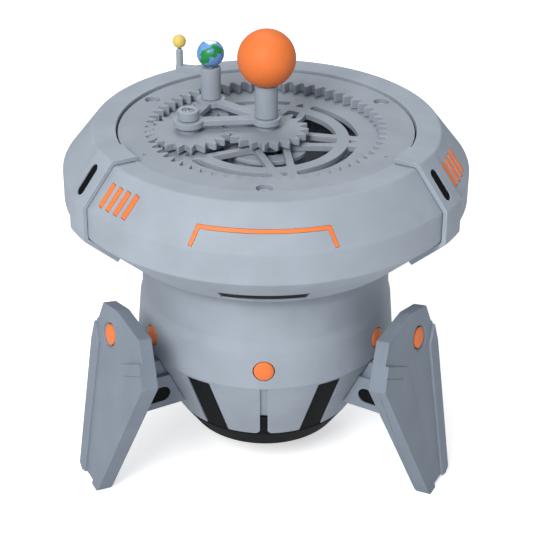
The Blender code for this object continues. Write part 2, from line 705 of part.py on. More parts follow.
# leg outlines: (across, down the leg) from the plug centre
CREASE_HEAD = (12.0, 6.6)       # ends of the panel's inner crease
CREASE_FOOT = (-0.1, 69.5)
SHOULDER = (29.0, -2.2)
LEG_OUTLINE = [(-8.4, -10.2), (3.6, -12.4), (23.9, -10.0), SHOULDER, (34.2, 6.1), (6.0, 69.5),
               CREASE_FOOT, (-0.4, 67.1), (-5.6, 66.6), (-8.8, 67.2), (-11.7, 65.4),
               (-13.6, 7.9), (-12.2, -1.2), (-10.8, -2.6)]
LEG_RIB = [(-12.2, -0.7), (-6.8, 6.6), (-5.9, 66.6), (-8.8, 67.2), (-11.7, 65.4), (-13.6, 7.9)]
LEG_PANEL = [CREASE_HEAD, (28.85, -2.38), (34.2, 6.1), (6.0, 69.5), CREASE_FOOT]
PANEL_LOW, PANEL_HIGH = 0.3, 1.3        # panel face at the crease and at the shoulder
LEG_PLUG_PROFILE = [(0, 0.3), (2.4, 0.15), (3.8, -0.15), (4.15, -0.55), (4.15, -2.6), (0, -2.6)]


def leg_frame(azimuth):
    """X along growing azimuth, Y up the leg, Z outwards, at the plug centre."""
    outward, along = directions(azimuth)
    down = outward * sin(LEAN) - UP * cos(LEAN)
    face_normal = outward * cos(LEAN) + UP * sin(LEAN)
    return frame_of(along, -down, face_normal, spot(*axis_xy(LEG_R, azimuth), LEG_Z))


def leg_mesh(hand, frame):
    def layer(outline, bottom, top):
        return flat_mesh([[(hand * across, -down) for across, down in outline]],
                         bottom, top, frame)

    def face_point(place, height):
        return Vector((hand * place[0], -place[1], height)) * MILLI

    blade = layer(LEG_OUTLINE, -LEG_THICK, 0.0)
    rib = layer(LEG_RIB, -1.5, 1.0)
    panel = layer(LEG_PANEL, -1.5, 4.0)
    # the panel's face rises from its inner crease to the shoulder
    head = face_point(CREASE_HEAD, PANEL_LOW)
    foot = face_point(CREASE_FOOT, PANEL_LOW)
    shoulder = face_point(SHOULDER, PANEL_HIGH)
    normal = (foot - head).cross(shoulder - head)
    normal.normalize()
    if normal.z < 0:
        normal = -normal
    panel = trimmed(panel, frame @ head, frame.to_3x3() @ normal)
    # feet end flat on the floor
    return trimmed(boolean_mesh([blade, rib, panel]), (0, 0, 0), (0, 0, -1))


for side, azimuth in SIDES.items():
    frame = leg_frame(azimuth)
    leg = add("leg_" + side, leg_mesh(LEG_HANDS[side], frame), GREY, smooth=False)
    combine(leg, "cut_leg_plug_" + side,
            cylinder(radius=4.5, depth=6.0, segments=16, frame=frame))
    combine(leg, "cut_leg_recess_" + side,
            cylinder(radius=5.1, depth=3.0, segments=16, frame=frame @ raised(0.75)))
    add_plug("leg_plug_" + side, LEG_PLUG_PROFILE, frame)

# ------------------------------------------------------------------ leg brackets
# a wide block with a round-ended opening and a narrower bar above
BLOCK_HALF, BAR_HALF = 8.2, 6.4
BLOCK_TOP, BLOCK_BOTTOM = -94.0, -108.3
BAR_TOP, BAR_BOTTOM = -87.4, BLOCK_TOP - 2.0
BLOCK_IN_R, BAR_IN_R = 36.0, 40.0
LEG_CLEARANCE = 0.35            # behind the leg's inner face
BAR_SETBACK = 0.05              # bar end inside the block's
EYE_R, EYE_Z = 54.6, -102.2
EYE_LENGTH, EYE_WIDTH = 13.0, 6.6
BODY_CLEAR_TOP = -80.0
BODY_CLEAR_LINE = ([(BAND_R + 0.3, BODY_CLEAR_TOP), (BAND_R + 0.32, BAND_BOTTOM)]
                   + offset_line(LOWER_CONE, 0.35)[1:])
BODY_CLEAR_PROFILE = ([(0, BODY_CLEAR_TOP)] + BODY_CLEAR_LINE + [(0, BODY_CLEAR_LINE[-1][1])])


def leg_back(z):
    """Radius just behind the leg at a height."""
    depth = LEG_THICK + LEG_CLEARANCE
    return LEG_R - depth * cos(LEAN) + ((LEG_Z - z) - depth * sin(LEAN)) * tan(LEAN)


def bracket_bar(in_r, bottom, top, half_width, setback, frame):
    outline = [(in_r, bottom), (leg_back(bottom) - setback, bottom),
               (leg_back(top) - setback, top), (in_r, top)]
    return flat_mesh([outline], -half_width, half_width, frame)


for side, azimuth in SIDES.items():
    outward, along = directions(azimuth)
    # X outwards, Y up, Z across
    frame = frame_of(outward, UP, outward.cross(UP), spot(0, 0, 0))
    block = bracket_bar(BLOCK_IN_R, BLOCK_BOTTOM, BLOCK_TOP, BLOCK_HALF, 0.0, frame)
    bar = bracket_bar(BAR_IN_R, BAR_BOTTOM, BAR_TOP, BAR_HALF, BAR_SETBACK, frame)
    bracket = add("leg_bracket_" + side, boolean_mesh([block, bar]), GREY, smooth=False)
    combine(bracket, "cut_bracket_body_" + side, turned_mesh(BODY_CLEAR_PROFILE, 48))
    eye = [(x + EYE_R, y + EYE_Z) for y, x in stadium(EYE_LENGTH, EYE_WIDTH)]
    combine(bracket, "cut_bracket_eye_" + side,
            flat_mesh([eye], -BLOCK_HALF - 2, BLOCK_HALF + 2, frame))

# ------------------------------------------------------------------ gears
GEAR_THICK = 2.8
BOSS_TOP = CARRIER_BOTTOM - GAP
planet_x, planet_y = axis_xy(SUN_TO_PLANET, PLANET_AZIMUTH)
# angle at the sun in the triangle sun, planet, Earth
planet_to_earth_turn = degrees(acos(
    (SUN_TO_PLANET ** 2 + SUN_TO_EARTH ** 2 - PLANET_TO_EARTH ** 2)
    / (2 * SUN_TO_PLANET * SUN_TO_EARTH)))
earth_x, earth_y = axis_xy(SUN_TO_EARTH, PLANET_AZIMUTH - planet_to_earth_turn)

# The planet shows a tooth to the ring; with an even count it shows one to the
# sun too, so the sun shows a gap to the planet.
planet_phase = radians(PLANET_AZIMUTH - 90)
sun_phase = planet_phase + pi / TEETH_SUN
# the moon gear meshes with the planet tooth nearest to the Earth's direction
to_earth = atan2(earth_y - planet_y, earth_x - planet_x)
planet_pitch = 2 * pi / TEETH_PLANET
teeth_to_earth = (to_earth - planet_phase) / planet_pitch
past_tooth = (teeth_to_earth - round(teeth_to_earth)) * planet_pitch
moon_phase = to_earth + pi + past_tooth * TEETH_PLANET / TEETH_MOON + pi / TEETH_MOON


def hub_gear(name, teeth, phase, bore, boss_r, x, y, slack=0.06):
    outline = gear_outline(teeth, tip=1.4, root=1.85, phase=phase, slack=slack)
    boss = upright_cylinder(boss_r, -0.8, BOSS_TOP, 20)
    solid = boolean_mesh([flat_mesh([outline], -GEAR_THICK, 0.0), boss])
    hole = upright_cylinder(bore, -GEAR_THICK - 1.0, BOSS_TOP + 1.0, 20)
    move_to_axis(add(name, boolean_mesh([solid, hole], 'DIFFERENCE'), GREY), x, y)


hub_gear("sun_gear", TEETH_SUN, sun_phase, bore=2.5, boss_r=3.8, x=0.0, y=0.0)
hub_gear("planet_gear", TEETH_PLANET, planet_phase, bore=2.6, boss_r=3.9, x=planet_x, y=planet_y)
hub_gear("moon_gear", TEETH_MOON, moon_phase, bore=1.6, boss_r=3.6, x=earth_x, y=earth_y,
         slack=0.16)

# ------------------------------------------------------------------ sun
SUN_BALL_R, SUN_BALL_Z = 11.2, 28.45
SUN_SEAT_Z = 18.2               # flat under the ball
SUN_POST_PROFILE = [(0, 17.9), (4.1, 17.9), (4.46, 17.5), (4.46, CARRIER_TOP + GAP),
                    (3.4, CARRIER_TOP + GAP), (3.4, CARRIER_BOTTOM), (2.4, CARRIER_BOTTOM),
                    (2.4, -14.0), (0, -14.0)]
turned("sun_post", SUN_POST_PROFILE, GREY, segments=20)
sun_ball = ball("sun_ball", SUN_BALL_R, 0, 0, SUN_BALL_Z, ORANGE, segments=22, rings=12)
combine(sun_ball, "cut_sun_seat",
        box((30, 30, 20), Matrix.Translation(spot(0, 0, SUN_SEAT_Z - 10))))

# ------------------------------------------------------------------ carrier
# three hubs joined by three arms round a window; hubs are (x, y, radius, bore)
HUBS = [(0.0, 0.0, 5.65, 3.5), (planet_x, planet_y, 5.9, 1.6), (earth_x, earth_y, 5.6, 3.3)]
CARRIER_ARM_SIZE = (4.2, CARRIER_TOP - CARRIER_BOTTOM - 0.2)    # width, thickness
ARM_OVERLAP = 1.0               # arm ends inside the hubs' outer circles


def carrier_arm(first, second):
    start_x, start_y, start_r, _ = first
    end_x, end_y, end_r, _ = second
    angle = atan2(end_y - start_y, end_x - start_x)
    start = start_r - ARM_OVERLAP
    end = hypot(end_x - start_x, end_y - start_y) - end_r + ARM_OVERLAP
    middle = (start + end) / 2
    place = spot(start_x + cos(angle) * middle, start_y + sin(angle) * middle,
                 (CARRIER_BOTTOM + CARRIER_TOP) / 2)
    return box((end - start, *CARRIER_ARM_SIZE),
               Matrix.Translation(place) @ Matrix.Rotation(angle, 4, 'Z'))


carrier_hubs = [flat_mesh([circle(radius, 24, x, y), circle(bore, 20, x, y)],
                          CARRIER_BOTTOM, CARRIER_TOP) for x, y, radius, bore in HUBS]
carrier_arms = [carrier_arm(HUBS[i], HUBS[(i + 1) % 3]) for i in range(3)]
add("carrier", boolean_mesh(carrier_hubs + carrier_arms), GREY)

# ------------------------------------------------------------------ planet axle, cap and screw
PLANET_AXLE_PROFILE = [(2.5, CARRIER_BOTTOM - GAP), (2.5, -3.2), (1.6, -3.2),
                       (1.6, CARRIER_BOTTOM - GAP)]
PLANET_CAP_PROFILE = [(2.5, 8.6), (3.8, 8.6), (4.15, 8.25), (4.15, CARRIER_TOP + GAP),
                      (1.6, CARRIER_TOP + GAP), (1.6, 6.6), (2.5, 6.6)]
PLANET_SCREW_PROFILE = [(0, 8.3), (2.0, 8.3), (2.3, 8.0), (2.3, 6.9), (1.45, 6.9),
                        (1.45, -3.4), (0, -3.4)]
planet_axis = (planet_x, planet_y)
turned("planet_axle", PLANET_AXLE_PROFILE, STEEL, segments=20, closed=True, axis=planet_axis)
turned("planet_cap", PLANET_CAP_PROFILE, GREY, segments=20, closed=True, axis=planet_axis)
planet_screw = turned("planet_screw", PLANET_SCREW_PROFILE, STEEL, segments=20, axis=planet_axis)
combine(planet_screw, "cut_planet_screw",
        upright_cylinder(HEX_SOCKET_R, bottom=7.4, top=9.5, segments=6, x=planet_x, y=planet_y))

# ------------------------------------------------------------------ moon
# sleeve, arm and post, turning with the moon gear about the Earth axis
MOON_BALL_R, MOON_BALL_Z = 2.65, 27.0
SLEEVE_R, SLEEVE_TOP = 3.95, 17.6
SLEEVE_PROFILE = [(1.6, SLEEVE_TOP), (3.6, SLEEVE_TOP), (SLEEVE_R, SLEEVE_TOP - 0.4),
                  (SLEEVE_R, CARRIER_TOP + GAP), (3.2, CARRIER_TOP + GAP),
                  (3.2, CARRIER_BOTTOM), (1.6, CARRIER_BOTTOM)]
MOON_ARM_LENGTH, MOON_ARM_AZIMUTH = 12.6, -103.0
MOON_ARM_START = 2.2            # distance of the arm's inner end from the Earth axis
MOON_ARM_TOP, MOON_ARM_THICK, MOON_ARM_WIDTH = SLEEVE_TOP - 0.5, 2.6, 3.2
MOON_POST_R = 1.35

moon_dx, moon_dy = axis_xy(MOON_ARM_LENGTH, MOON_ARM_AZIMUTH)
moon_x, moon_y = earth_x + moon_dx, earth_y + moon_dy


def moon_arm_mesh():
    sleeve = turned_mesh(SLEEVE_PROFILE, 20, closed=True)
    sleeve.transform(Matrix.Translation(Vector((earth_x, earth_y, 0)) * MILLI))
    angle = atan2(moon_y - earth_y, moon_x - earth_x)
    middle = (MOON_ARM_LENGTH + MOON_ARM_START) / 2
    place = spot(earth_x + cos(angle) * middle, earth_y + sin(angle) * middle,
                 MOON_ARM_TOP - MOON_ARM_THICK / 2)
    arm = box((MOON_ARM_LENGTH - MOON_ARM_START, MOON_ARM_WIDTH, MOON_ARM_THICK),
              Matrix.Translation(place) @ Matrix.Rotation(angle, 4, 'Z'))
    arm_end = upright_cylinder(MOON_ARM_WIDTH / 2, MOON_ARM_TOP - MOON_ARM_THICK + 0.1,
                               MOON_ARM_TOP - 0.1, 14, moon_x, moon_y)
    post = upright_cylinder(MOON_POST_R, MOON_ARM_TOP - 1.0, MOON_BALL_Z - MOON_BALL_R - 0.35,
                            12, moon_x, moon_y)
    return boolean_mesh([sleeve, arm, arm_end, post])


set_origin(add("moon_arm", moon_arm_mesh(), GREY), spot(earth_x, earth_y, 0))
ball("moon_ball", MOON_BALL_R, moon_x, moon_y, MOON_BALL_Z, YELLOW, segments=14, rings=8)

# ------------------------------------------------------------------ Earth
EARTH_BALL_R, EARTH_BALL_Z = 5.35, 23.2
EARTH_SPINDLE_PROFILE = [(0, EARTH_BALL_Z - 3.3), (1.3, EARTH_BALL_Z - 3.3),
                         (1.5, EARTH_BALL_Z - 3.6), (1.5, -3.3), (0, -3.3)]
turned("earth_spindle", EARTH_SPINDLE_PROFILE, STEEL, segments=20, axis=(earth_x, earth_y))
earth = ball("earth_ball", EARTH_BALL_R, earth_x, earth_y, EARTH_BALL_Z, BLUE,
             segments=18, rings=10)
combine(earth, "cut_earth_bore",
        upright_cylinder(1.75, bottom=EARTH_BALL_Z - 8, top=EARTH_BALL_Z - 2.9, segments=12,
                         x=earth_x, y=earth_y))

# ------------------------------------------------------------------ drive on the centre axis
BEARING_PROFILE = [(2.5, -3.1), (5.4, -3.1), (5.4, -3.7), (3.9, -3.7), (3.9, -6.9), (2.5, -6.9)]
COUPLER_PROFILE = [(2.6, -9.6), (4.6, -9.6), (4.6, -20.4), (2.1, -20.4), (2.1, -14.6),
                   (2.6, -14.6)]
SHAFT_PROFILE = [(0, -14.9), (1.8, -14.9), (2.0, -15.1), (2.0, -24.0), (0, -24.0)]
MOUNT_PROFILE = [(11.0, -6.8), (17.0, -6.8), (17.0, -8.6), (15.0, -8.6), (15.0, -23.4),
                 (5.4, -23.4), (5.4, -21.4), (13.0, -21.4), (13.0, -8.6), (11.0, -8.6)]
MOTOR_PROFILE = [(0, -26.5), (2.15, -26.5), (2.15, -23.9), (12.0, -23.9), (12.4, -24.3),
                 (12.4, -48.0), (11.4, -48.4), (11.4, -71.6), (11.0, -72.0), (0, -72.0)]
turned("sun_bearing", BEARING_PROFILE, BLACK, segments=20, closed=True)
turned("shaft_coupler", COUPLER_PROFILE, STEEL, segments=20, closed=True)
turned("motor_shaft", SHAFT_PROFILE, STEEL, segments=20)
turned("motor_mount", MOUNT_PROFILE, GREY, segments=24, closed=True)
turned("gear_motor", MOTOR_PROFILE, MOTOR, segments=24)

# ------------------------------------------------------------------ battery box
# open tray on a pedestal in the base core
TRAY_LENGTH, TRAY_WIDTH, TRAY_HEIGHT, TRAY_Z = 58.0, 32.5, 16.0, -100.0
TRAY_WALL = 1.5


def battery_box_mesh():
    middle = TRAY_Z + TRAY_HEIGHT / 2
    outside = box((TRAY_LENGTH, TRAY_WIDTH, TRAY_HEIGHT), Matrix.Translation(spot(0, 0, middle)))
    hollow = box((TRAY_LENGTH - 2 * TRAY_WALL, TRAY_WIDTH - 2 * TRAY_WALL, TRAY_HEIGHT),
                 Matrix.Translation(spot(0, 0, middle + TRAY_WALL)))
    tray = boolean_mesh([outside, hollow], 'DIFFERENCE')
    pedestal = upright_cylinder(12.0, bottom=CORE_END_Z + FLOOR_THICK + GAP, top=TRAY_Z + 0.7,
                                segments=24, y=6.0)
    return boolean_mesh([tray, pedestal])


add("battery_box", battery_box_mesh(), BLACK, smooth=False)

# two round cells lying along X, pointing opposite ways; profile along the cell's axis
CELL_PROFILE = [(0, 27.0), (2.6, 27.0), (2.6, 25.6), (7.0, 25.4), (7.0, -23.0), (0, -23.0)]
CELL_SHIFT_X, CELL_SHIFT_Y = 2.0, 7.3
for name, hand in (("battery_front", -1), ("battery_back", 1)):
    battery = add(name, turned_mesh(CELL_PROFILE, 14, base_height=0.0), CELL)
    place = spot(hand * CELL_SHIFT_X, hand * CELL_SHIFT_Y, TRAY_Z + 9.0)
    battery.matrix_world = Matrix.Translation(place) @ Matrix.Rotation(-hand * pi / 2, 4, 'Y')

# ------------------------------------------------------------------ power switch
# slide switch in the underside of the base core, pushed towards -X
SWITCH_Y, SWITCH_TRAVEL = -19.0, 3.0
KNOB_SIZE, KNOB_RISE = (5.0, 4.0, 5.4), 1.1
FLANGE_SIZE, FLANGE_RISE = (12.4, 6.6, 1.6), 3.55
switch_x = -SWITCH_TRAVEL / 2
combine(core, "cut_switch", box((SWITCH_TRAVEL + KNOB_SIZE[0] + 0.6, KNOB_SIZE[1] + 0.6, 8.0),
                                Matrix.Translation(spot(0, SWITCH_Y, CORE_END_Z))))
knob = box(KNOB_SIZE, Matrix.Translation(spot(switch_x, SWITCH_Y, CORE_END_Z + KNOB_RISE)))
flange = box(FLANGE_SIZE, Matrix.Translation(spot(switch_x, SWITCH_Y, CORE_END_Z + FLANGE_RISE)))
switch = add("power_switch", boolean_mesh([knob, flange]), ORANGE, smooth=False)
set_origin(switch, spot(switch_x, SWITCH_Y, CORE_END_Z))

bpy.context.view_layer.update()
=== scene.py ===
"""Looks of the desktop orrery: a lathed housing and body on three leaning legs, with an
open gear train on top that carries the Sun, the Earth and the Moon.

Sizes are in millimetres. Heights are from the top face of the gear plate, azimuths in
degrees from the front (-Y) towards +X (right). Meshes are built in metres, +Z up.
"""
import bpy
import bmesh
from contextlib import contextmanager
from math import sin, cos, pi, radians, degrees, sqrt, atan2, hypot, acos, tan
from mathutils import Vector, Matrix
from mathutils.geometry import tessellate_polygon


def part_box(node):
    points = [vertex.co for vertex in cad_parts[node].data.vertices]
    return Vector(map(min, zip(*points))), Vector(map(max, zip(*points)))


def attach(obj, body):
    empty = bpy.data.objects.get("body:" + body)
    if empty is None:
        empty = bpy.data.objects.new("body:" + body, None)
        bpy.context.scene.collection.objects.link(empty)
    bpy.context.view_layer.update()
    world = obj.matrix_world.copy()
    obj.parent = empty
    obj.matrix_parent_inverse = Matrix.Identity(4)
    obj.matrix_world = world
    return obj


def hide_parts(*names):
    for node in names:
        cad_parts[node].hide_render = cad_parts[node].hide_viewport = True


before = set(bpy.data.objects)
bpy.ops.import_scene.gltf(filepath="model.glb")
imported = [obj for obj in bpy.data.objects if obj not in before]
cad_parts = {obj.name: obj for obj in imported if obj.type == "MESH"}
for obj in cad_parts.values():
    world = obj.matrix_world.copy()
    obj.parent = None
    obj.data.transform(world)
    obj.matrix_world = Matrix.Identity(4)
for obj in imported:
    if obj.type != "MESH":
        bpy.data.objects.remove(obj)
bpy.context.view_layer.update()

MM = 0.001
PLATE_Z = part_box("ring_gear_plate")[1].z / MM            # plate top above the floor


def centre_xy(node):
    low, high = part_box(node)
    return (low.x + high.x) / 2 / MM, (low.y + high.y) / 2 / MM


def top_of(node):
    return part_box(node)[1].z / MM - PLATE_Z


def foot_of(node):
    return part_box(node)[0].z / MM - PLATE_Z


# ------------------------------------------------------------------ shared sizes
THIRDS = {"front": 0.0, "right": 120.0, "left": -120.0}       # screws and light slots
LEG_AZ = {"left": -60.0, "right": 60.0, "back": 180.0}        # legs and clamp bands

RIM_R, RIM_Z = 58.0, 1.2
CREASE_R, CREASE_Z = 67.4, 1.4
BELT_R, BELT_TOP, BELT_BOTTOM = 79.0, -13.6, -25.7
BASE_R, BASE_Z = 60.0, -43.2
SCREW_R = 53.0
SCREW_HOLE_R = 1.8
CONE = ((CREASE_R, CREASE_Z), (BELT_R, BELT_TOP))             # upper cone of the housing
CONE_STRETCH = hypot(BELT_R - CREASE_R, BELT_TOP - CREASE_Z) / (BELT_R - CREASE_R)

BODY_R = 50.9
BAND_TOP, BAND_BOTTOM, BAND_R = -71.3, -86.5, 52.2
CONE_END_R, CONE_END_Z = 37.6, -117.6
CORE_END_R, CORE_END_Z = 30.6, -127.6
LOWER_CONE = [(BAND_R, BAND_BOTTOM), (CONE_END_R, CONE_END_Z)]
WALL = 2.4
SWITCH_Y, SWITCH_TRAVEL = -19.0, 3.0

CARRIER_Z0, CARRIER_Z1 = foot_of("carrier"), top_of("carrier")
COLLAR_Z = CARRIER_Z1 + 0.3                                   # collars clear the carrier
PLANET = centre_xy("planet_cap")
EARTH = centre_xy("earth_spindle")
MOON = centre_xy("moon_ball")
SUN_R, EARTH_R, MOON_R = 11.2, 5.35, 2.65
SUN_Z = top_of("sun_ball") - SUN_R
EARTH_Z = top_of("earth_ball") - EARTH_R
MOON_Z = top_of("moon_ball") - MOON_R


# ------------------------------------------------------------------ shader tools
def new_material(name):
    material = bpy.data.materials.new(name)
    material.use_nodes = True
    return material, material.node_tree


def fill(tree, node, inputs):
    """Set each input of a node, by a link if a socket is given, else by value."""
    for key, value in inputs.items():
        if isinstance(value, bpy.types.NodeSocket):
            tree.links.new(value, node.inputs[key])
        else:
            node.inputs[key].default_value = value


def add_node(tree, kind, inputs=None, **settings):
    node = tree.nodes.new("ShaderNode" + kind)
    for key, value in settings.items():
        setattr(node, key, value)
    fill(tree, node, inputs or {})
    return node


def noise(tree, **inputs):
    return add_node(tree, "TexNoise", inputs).outputs["Fac"]


def remap(tree, value, to_min, to_max, from_min=0.0, from_max=1.0):
    return add_node(tree, "MapRange", {
        "Value": value, "From Min": from_min, "From Max": from_max,
        "To Min": to_min, "To Max": to_max}).outputs["Result"]


def multiply(tree, first, second):
    return add_node(tree, "Math", {0: first, 1: second}, operation='MULTIPLY').outputs["Value"]


def mix(tree, factor, first, second):
    return add_node(tree, "MixRGB", {
        "Fac": factor, "Color1": first, "Color2": second}).outputs["Color"]


def threshold(tree, value, start, end):
    """Black up to start, white from end."""
    node = add_node(tree, "ValToRGB", {"Fac": value})
    node.color_ramp.elements[0].position = start
    node.color_ramp.elements[1].position = end
    return node.outputs["Color"]


def bump_normal(tree, height, strength, distance):
    return add_node(tree, "Bump", {
        "Height": height, "Strength": strength, "Distance": distance}).outputs["Normal"]


# ------------------------------------------------------------------ materials
def print_material(name, colour, roughness, grain=0.35, bump=0.05, vary=0.06, edge_highlight=0.25,
                   specular=0.35):
    """Printed plastic: fine grain, faint cloudiness, and a painted highlight that makes the edges
    paler.

    grain and bump are the grain's size and height in mm; vary and edge_highlight are the
    relative changes of brightness over the face and, as a painted highlight, at the edges.
    """
    material, tree = new_material(name)
    tree.nodes.clear()
    place = add_node(tree, "TexCoord").outputs["Object"]
    cloud = noise(tree, Vector=place, Scale=70.0, Detail=4.0)
    fine = noise(tree, Vector=place, Scale=1000.0 / grain, Detail=3.0, Roughness=0.6)
    clouded = remap(tree, cloud, 1.0 - vary, 1.0 + vary, from_min=0.3, from_max=0.7)
    speckled = remap(tree, fine, 1.0 - vary * 0.6, 1.0 + vary * 0.6,
                     from_min=0.25, from_max=0.75)
    # painted highlight: edges, found where a rounded normal departs from the true one, are made
    # paler
    rounded = add_node(tree, "Bevel", {"Radius": 0.0005}, samples=4).outputs["Normal"]
    true_normal = add_node(tree, "NewGeometry").outputs["Normal"]
    likeness = add_node(tree, "VectorMath", {0: rounded, 1: true_normal},
                        operation='DOT_PRODUCT').outputs["Value"]
    painted_edge_highlight = remap(tree, likeness, 1.0, 1.0 + edge_highlight, from_min=1.0, from_max=0.75)
    brightness = multiply(tree, multiply(tree, clouded, speckled), painted_edge_highlight)
    tinted = add_node(tree, "VectorMath", {0: colour, "Scale": brightness}, operation='SCALE')
    surface = add_node(tree, "BsdfPrincipled", {
        "Base Color": tinted.outputs["Vector"],
        "Roughness": remap(tree, fine, roughness - 0.06, roughness + 0.08,
                           from_min=0.25, from_max=0.75),
        "Normal": bump_normal(tree, fine, strength=0.55, distance=bump * MM),
        "IOR": 1.46,
        "Specular IOR Level": specular})
    add_node(tree, "OutputMaterial", {"Surface": surface.outputs["BSDF"]})
    return material


def metal_material(name, colour, roughness):
    """Metal with fine marks, squeezed along Z."""
    material, tree = new_material(name)
    place = add_node(tree, "TexCoord").outputs["Object"]
    squeezed = add_node(tree, "Mapping", {"Vector": place, "Scale": (1, 1, 14)})
    marks = noise(tree, Vector=squeezed.outputs["Vector"], Scale=1100.0, Detail=3.0)
    dark = (*[x * 0.85 for x in colour], 1)
    light = (*[min(1, x * 1.12) for x in colour], 1)
    fill(tree, tree.nodes["Principled BSDF"], {
        "Base Color": mix(tree, marks, dark, light),
        "Roughness": remap(tree, marks, roughness - 0.08, roughness + 0.12),
        "Normal": bump_normal(tree, marks, strength=0.25, distance=0.00002),
        "Metallic": 1.0})
    return material


def earth_material(name, x, y, z, radius):
    """Blue ball with green land patches and white caps; z is above the floor."""
    material, tree = new_material(name)
    place = add_node(tree, "TexCoord").outputs["Object"]
    unit_ball = add_node(tree, "Mapping", {
        "Vector": place,
        "Location": (x * MM, y * MM, z * MM),
        "Scale": (radius * MM, radius * MM, radius * MM)},
        vector_type='TEXTURE').outputs["Vector"]
    # the shift picks which patches of the noise become land
    shifted = add_node(tree, "VectorMath", {0: unit_ball, 1: (3.17, 1.42, 0.66)},
                       operation='ADD').outputs["Vector"]
    relief = noise(tree, Vector=shifted, Scale=1.25, Detail=7.0, Roughness=0.62)
    land = threshold(tree, relief, start=0.515, end=0.53)
    swirl = noise(tree, Vector=unit_ball, Scale=5.0, Detail=5.0)
    blue = mix(tree, swirl, (0.075, 0.23, 0.62, 1), (0.24, 0.47, 0.86, 1))
    green = mix(tree, swirl, (0.0, 0.17, 0.03, 1), (0.015, 0.36, 0.06, 1))
    # white caps near both poles, their borders moved by the swirl
    height = add_node(tree, "SeparateXYZ", {"Vector": unit_ball}).outputs["Z"]
    latitude = add_node(tree, "Math", {0: height}, operation='ABSOLUTE').outputs["Value"]
    ragged = add_node(tree, "Math", {0: swirl, 1: 0.16, 2: latitude},
                      operation='MULTIPLY_ADD').outputs["Value"]
    ice = threshold(tree, ragged, start=0.955, end=0.985)
    fine = noise(tree, Vector=place, Scale=3200.0)
    fill(tree, tree.nodes["Principled BSDF"], {
        "Base Color": mix(tree, ice, mix(tree, land, blue, green), (0.88, 0.9, 0.92, 1)),
        "Roughness": remap(tree, fine, 0.36, 0.52),
        "Normal": bump_normal(tree, land, strength=0.4, distance=0.00004)})
    return material


# each finish is a material and the name of the CAD slot it stands for
GREY = (print_material("grey_print_look", colour=(0.352, 0.395, 0.448), roughness=0.58),
        "grey_print")
# painted shade: the legs and their brackets get a darker copy of the grey print, for the shade under
# the housing
GREY_LEG_SHADED = (print_material("grey_leg_shaded_look", colour=(0.235, 0.272, 0.325), roughness=0.6),
            "grey_print")
GEAR = (print_material("grey_gear_look", colour=(0.325, 0.362, 0.405), roughness=0.52,
                       grain=0.3), "grey_print")
ORANGE = (print_material("orange_print_look", colour=(0.90, 0.215, 0.052), roughness=0.5,
                         edge_highlight=0.08, vary=0.04), "orange_print")
BALL = (print_material("orange_ball_look", colour=(0.88, 0.205, 0.045), roughness=0.55,
                       grain=0.6, bump=0.14, edge_highlight=0.0), "orange_print")
BLACK = (print_material("black_print_look", colour=(0.0045, 0.0052, 0.007), roughness=0.55,
                        edge_highlight=0.5, vary=0.1, specular=0.1), "black_print")
YELLOW = (print_material("moon_paint_look", colour=(0.80, 0.61, 0.15), roughness=0.5,
                         grain=0.4, bump=0.08, edge_highlight=0.0, vary=0.08), "moon_paint")
MOTOR = (metal_material("motor_can_look", colour=(0.30, 0.31, 0.33), roughness=0.42),
         "motor_can")
STEEL = (metal_material("steel_look", colour=(0.62, 0.63, 0.65), roughness=0.26), "steel")
CELL = (print_material("cell_wrap_look", colour=(0.05, 0.05, 0.06), roughness=0.35,
                       edge_highlight=0.0), "cell_wrap")
GLOBE = (earth_material("earth_look", *EARTH, EARTH_Z + PLATE_Z, EARTH_R), "earth_paint")


# ------------------------------------------------------------------ places and frames
def axis_xy(radius, azimuth):
    angle = radians(azimuth)
    return radius * sin(angle), -radius * cos(angle)


def spot(x, y, z):
    return Vector((x, y, z + PLATE_Z)) * MM


def polar(radius, azimuth, z):
    return spot(*axis_xy(radius, azimuth), z)


def directions(azimuth):
    """Unit vectors away from the axis and round it."""
    angle = radians(azimuth)
    return Vector((sin(angle), -cos(angle), 0)), Vector((cos(angle), sin(angle), 0))


def frame_of(x_axis, y_axis, z_axis, origin):
    matrix = Matrix((x_axis, y_axis, z_axis)).transposed().to_4x4()
    matrix.translation = origin
    return matrix


def turn_z(angle):
    return Matrix.Rotation(angle, 4, 'Z')


def shift(x=0.0, y=0.0, z=0.0):
    return Matrix.Translation((x * MM, y * MM, z * MM))


def surface_frame(line, radius, azimuth, height=0.0):
    """Frame on a cone turned from a line: X round it, Y up the slope, Z out of it."""
    (r_start, z_start), (r_end, z_end) = line
    run, fall = r_end - r_start, z_end - z_start
    length = hypot(run, fall)
    z = z_start + (radius - r_start) * fall / run
    outward, around = directions(azimuth)
    upslope = -(outward * (run / length) + Vector((0, 0, 1)) * (fall / length))
    normal = around.cross(upslope)
    if normal.dot(outward) < 0:
        normal = -normal
    origin = polar(radius, azimuth, z) + normal * height * MM
    return frame_of(around, upslope, normal, origin)


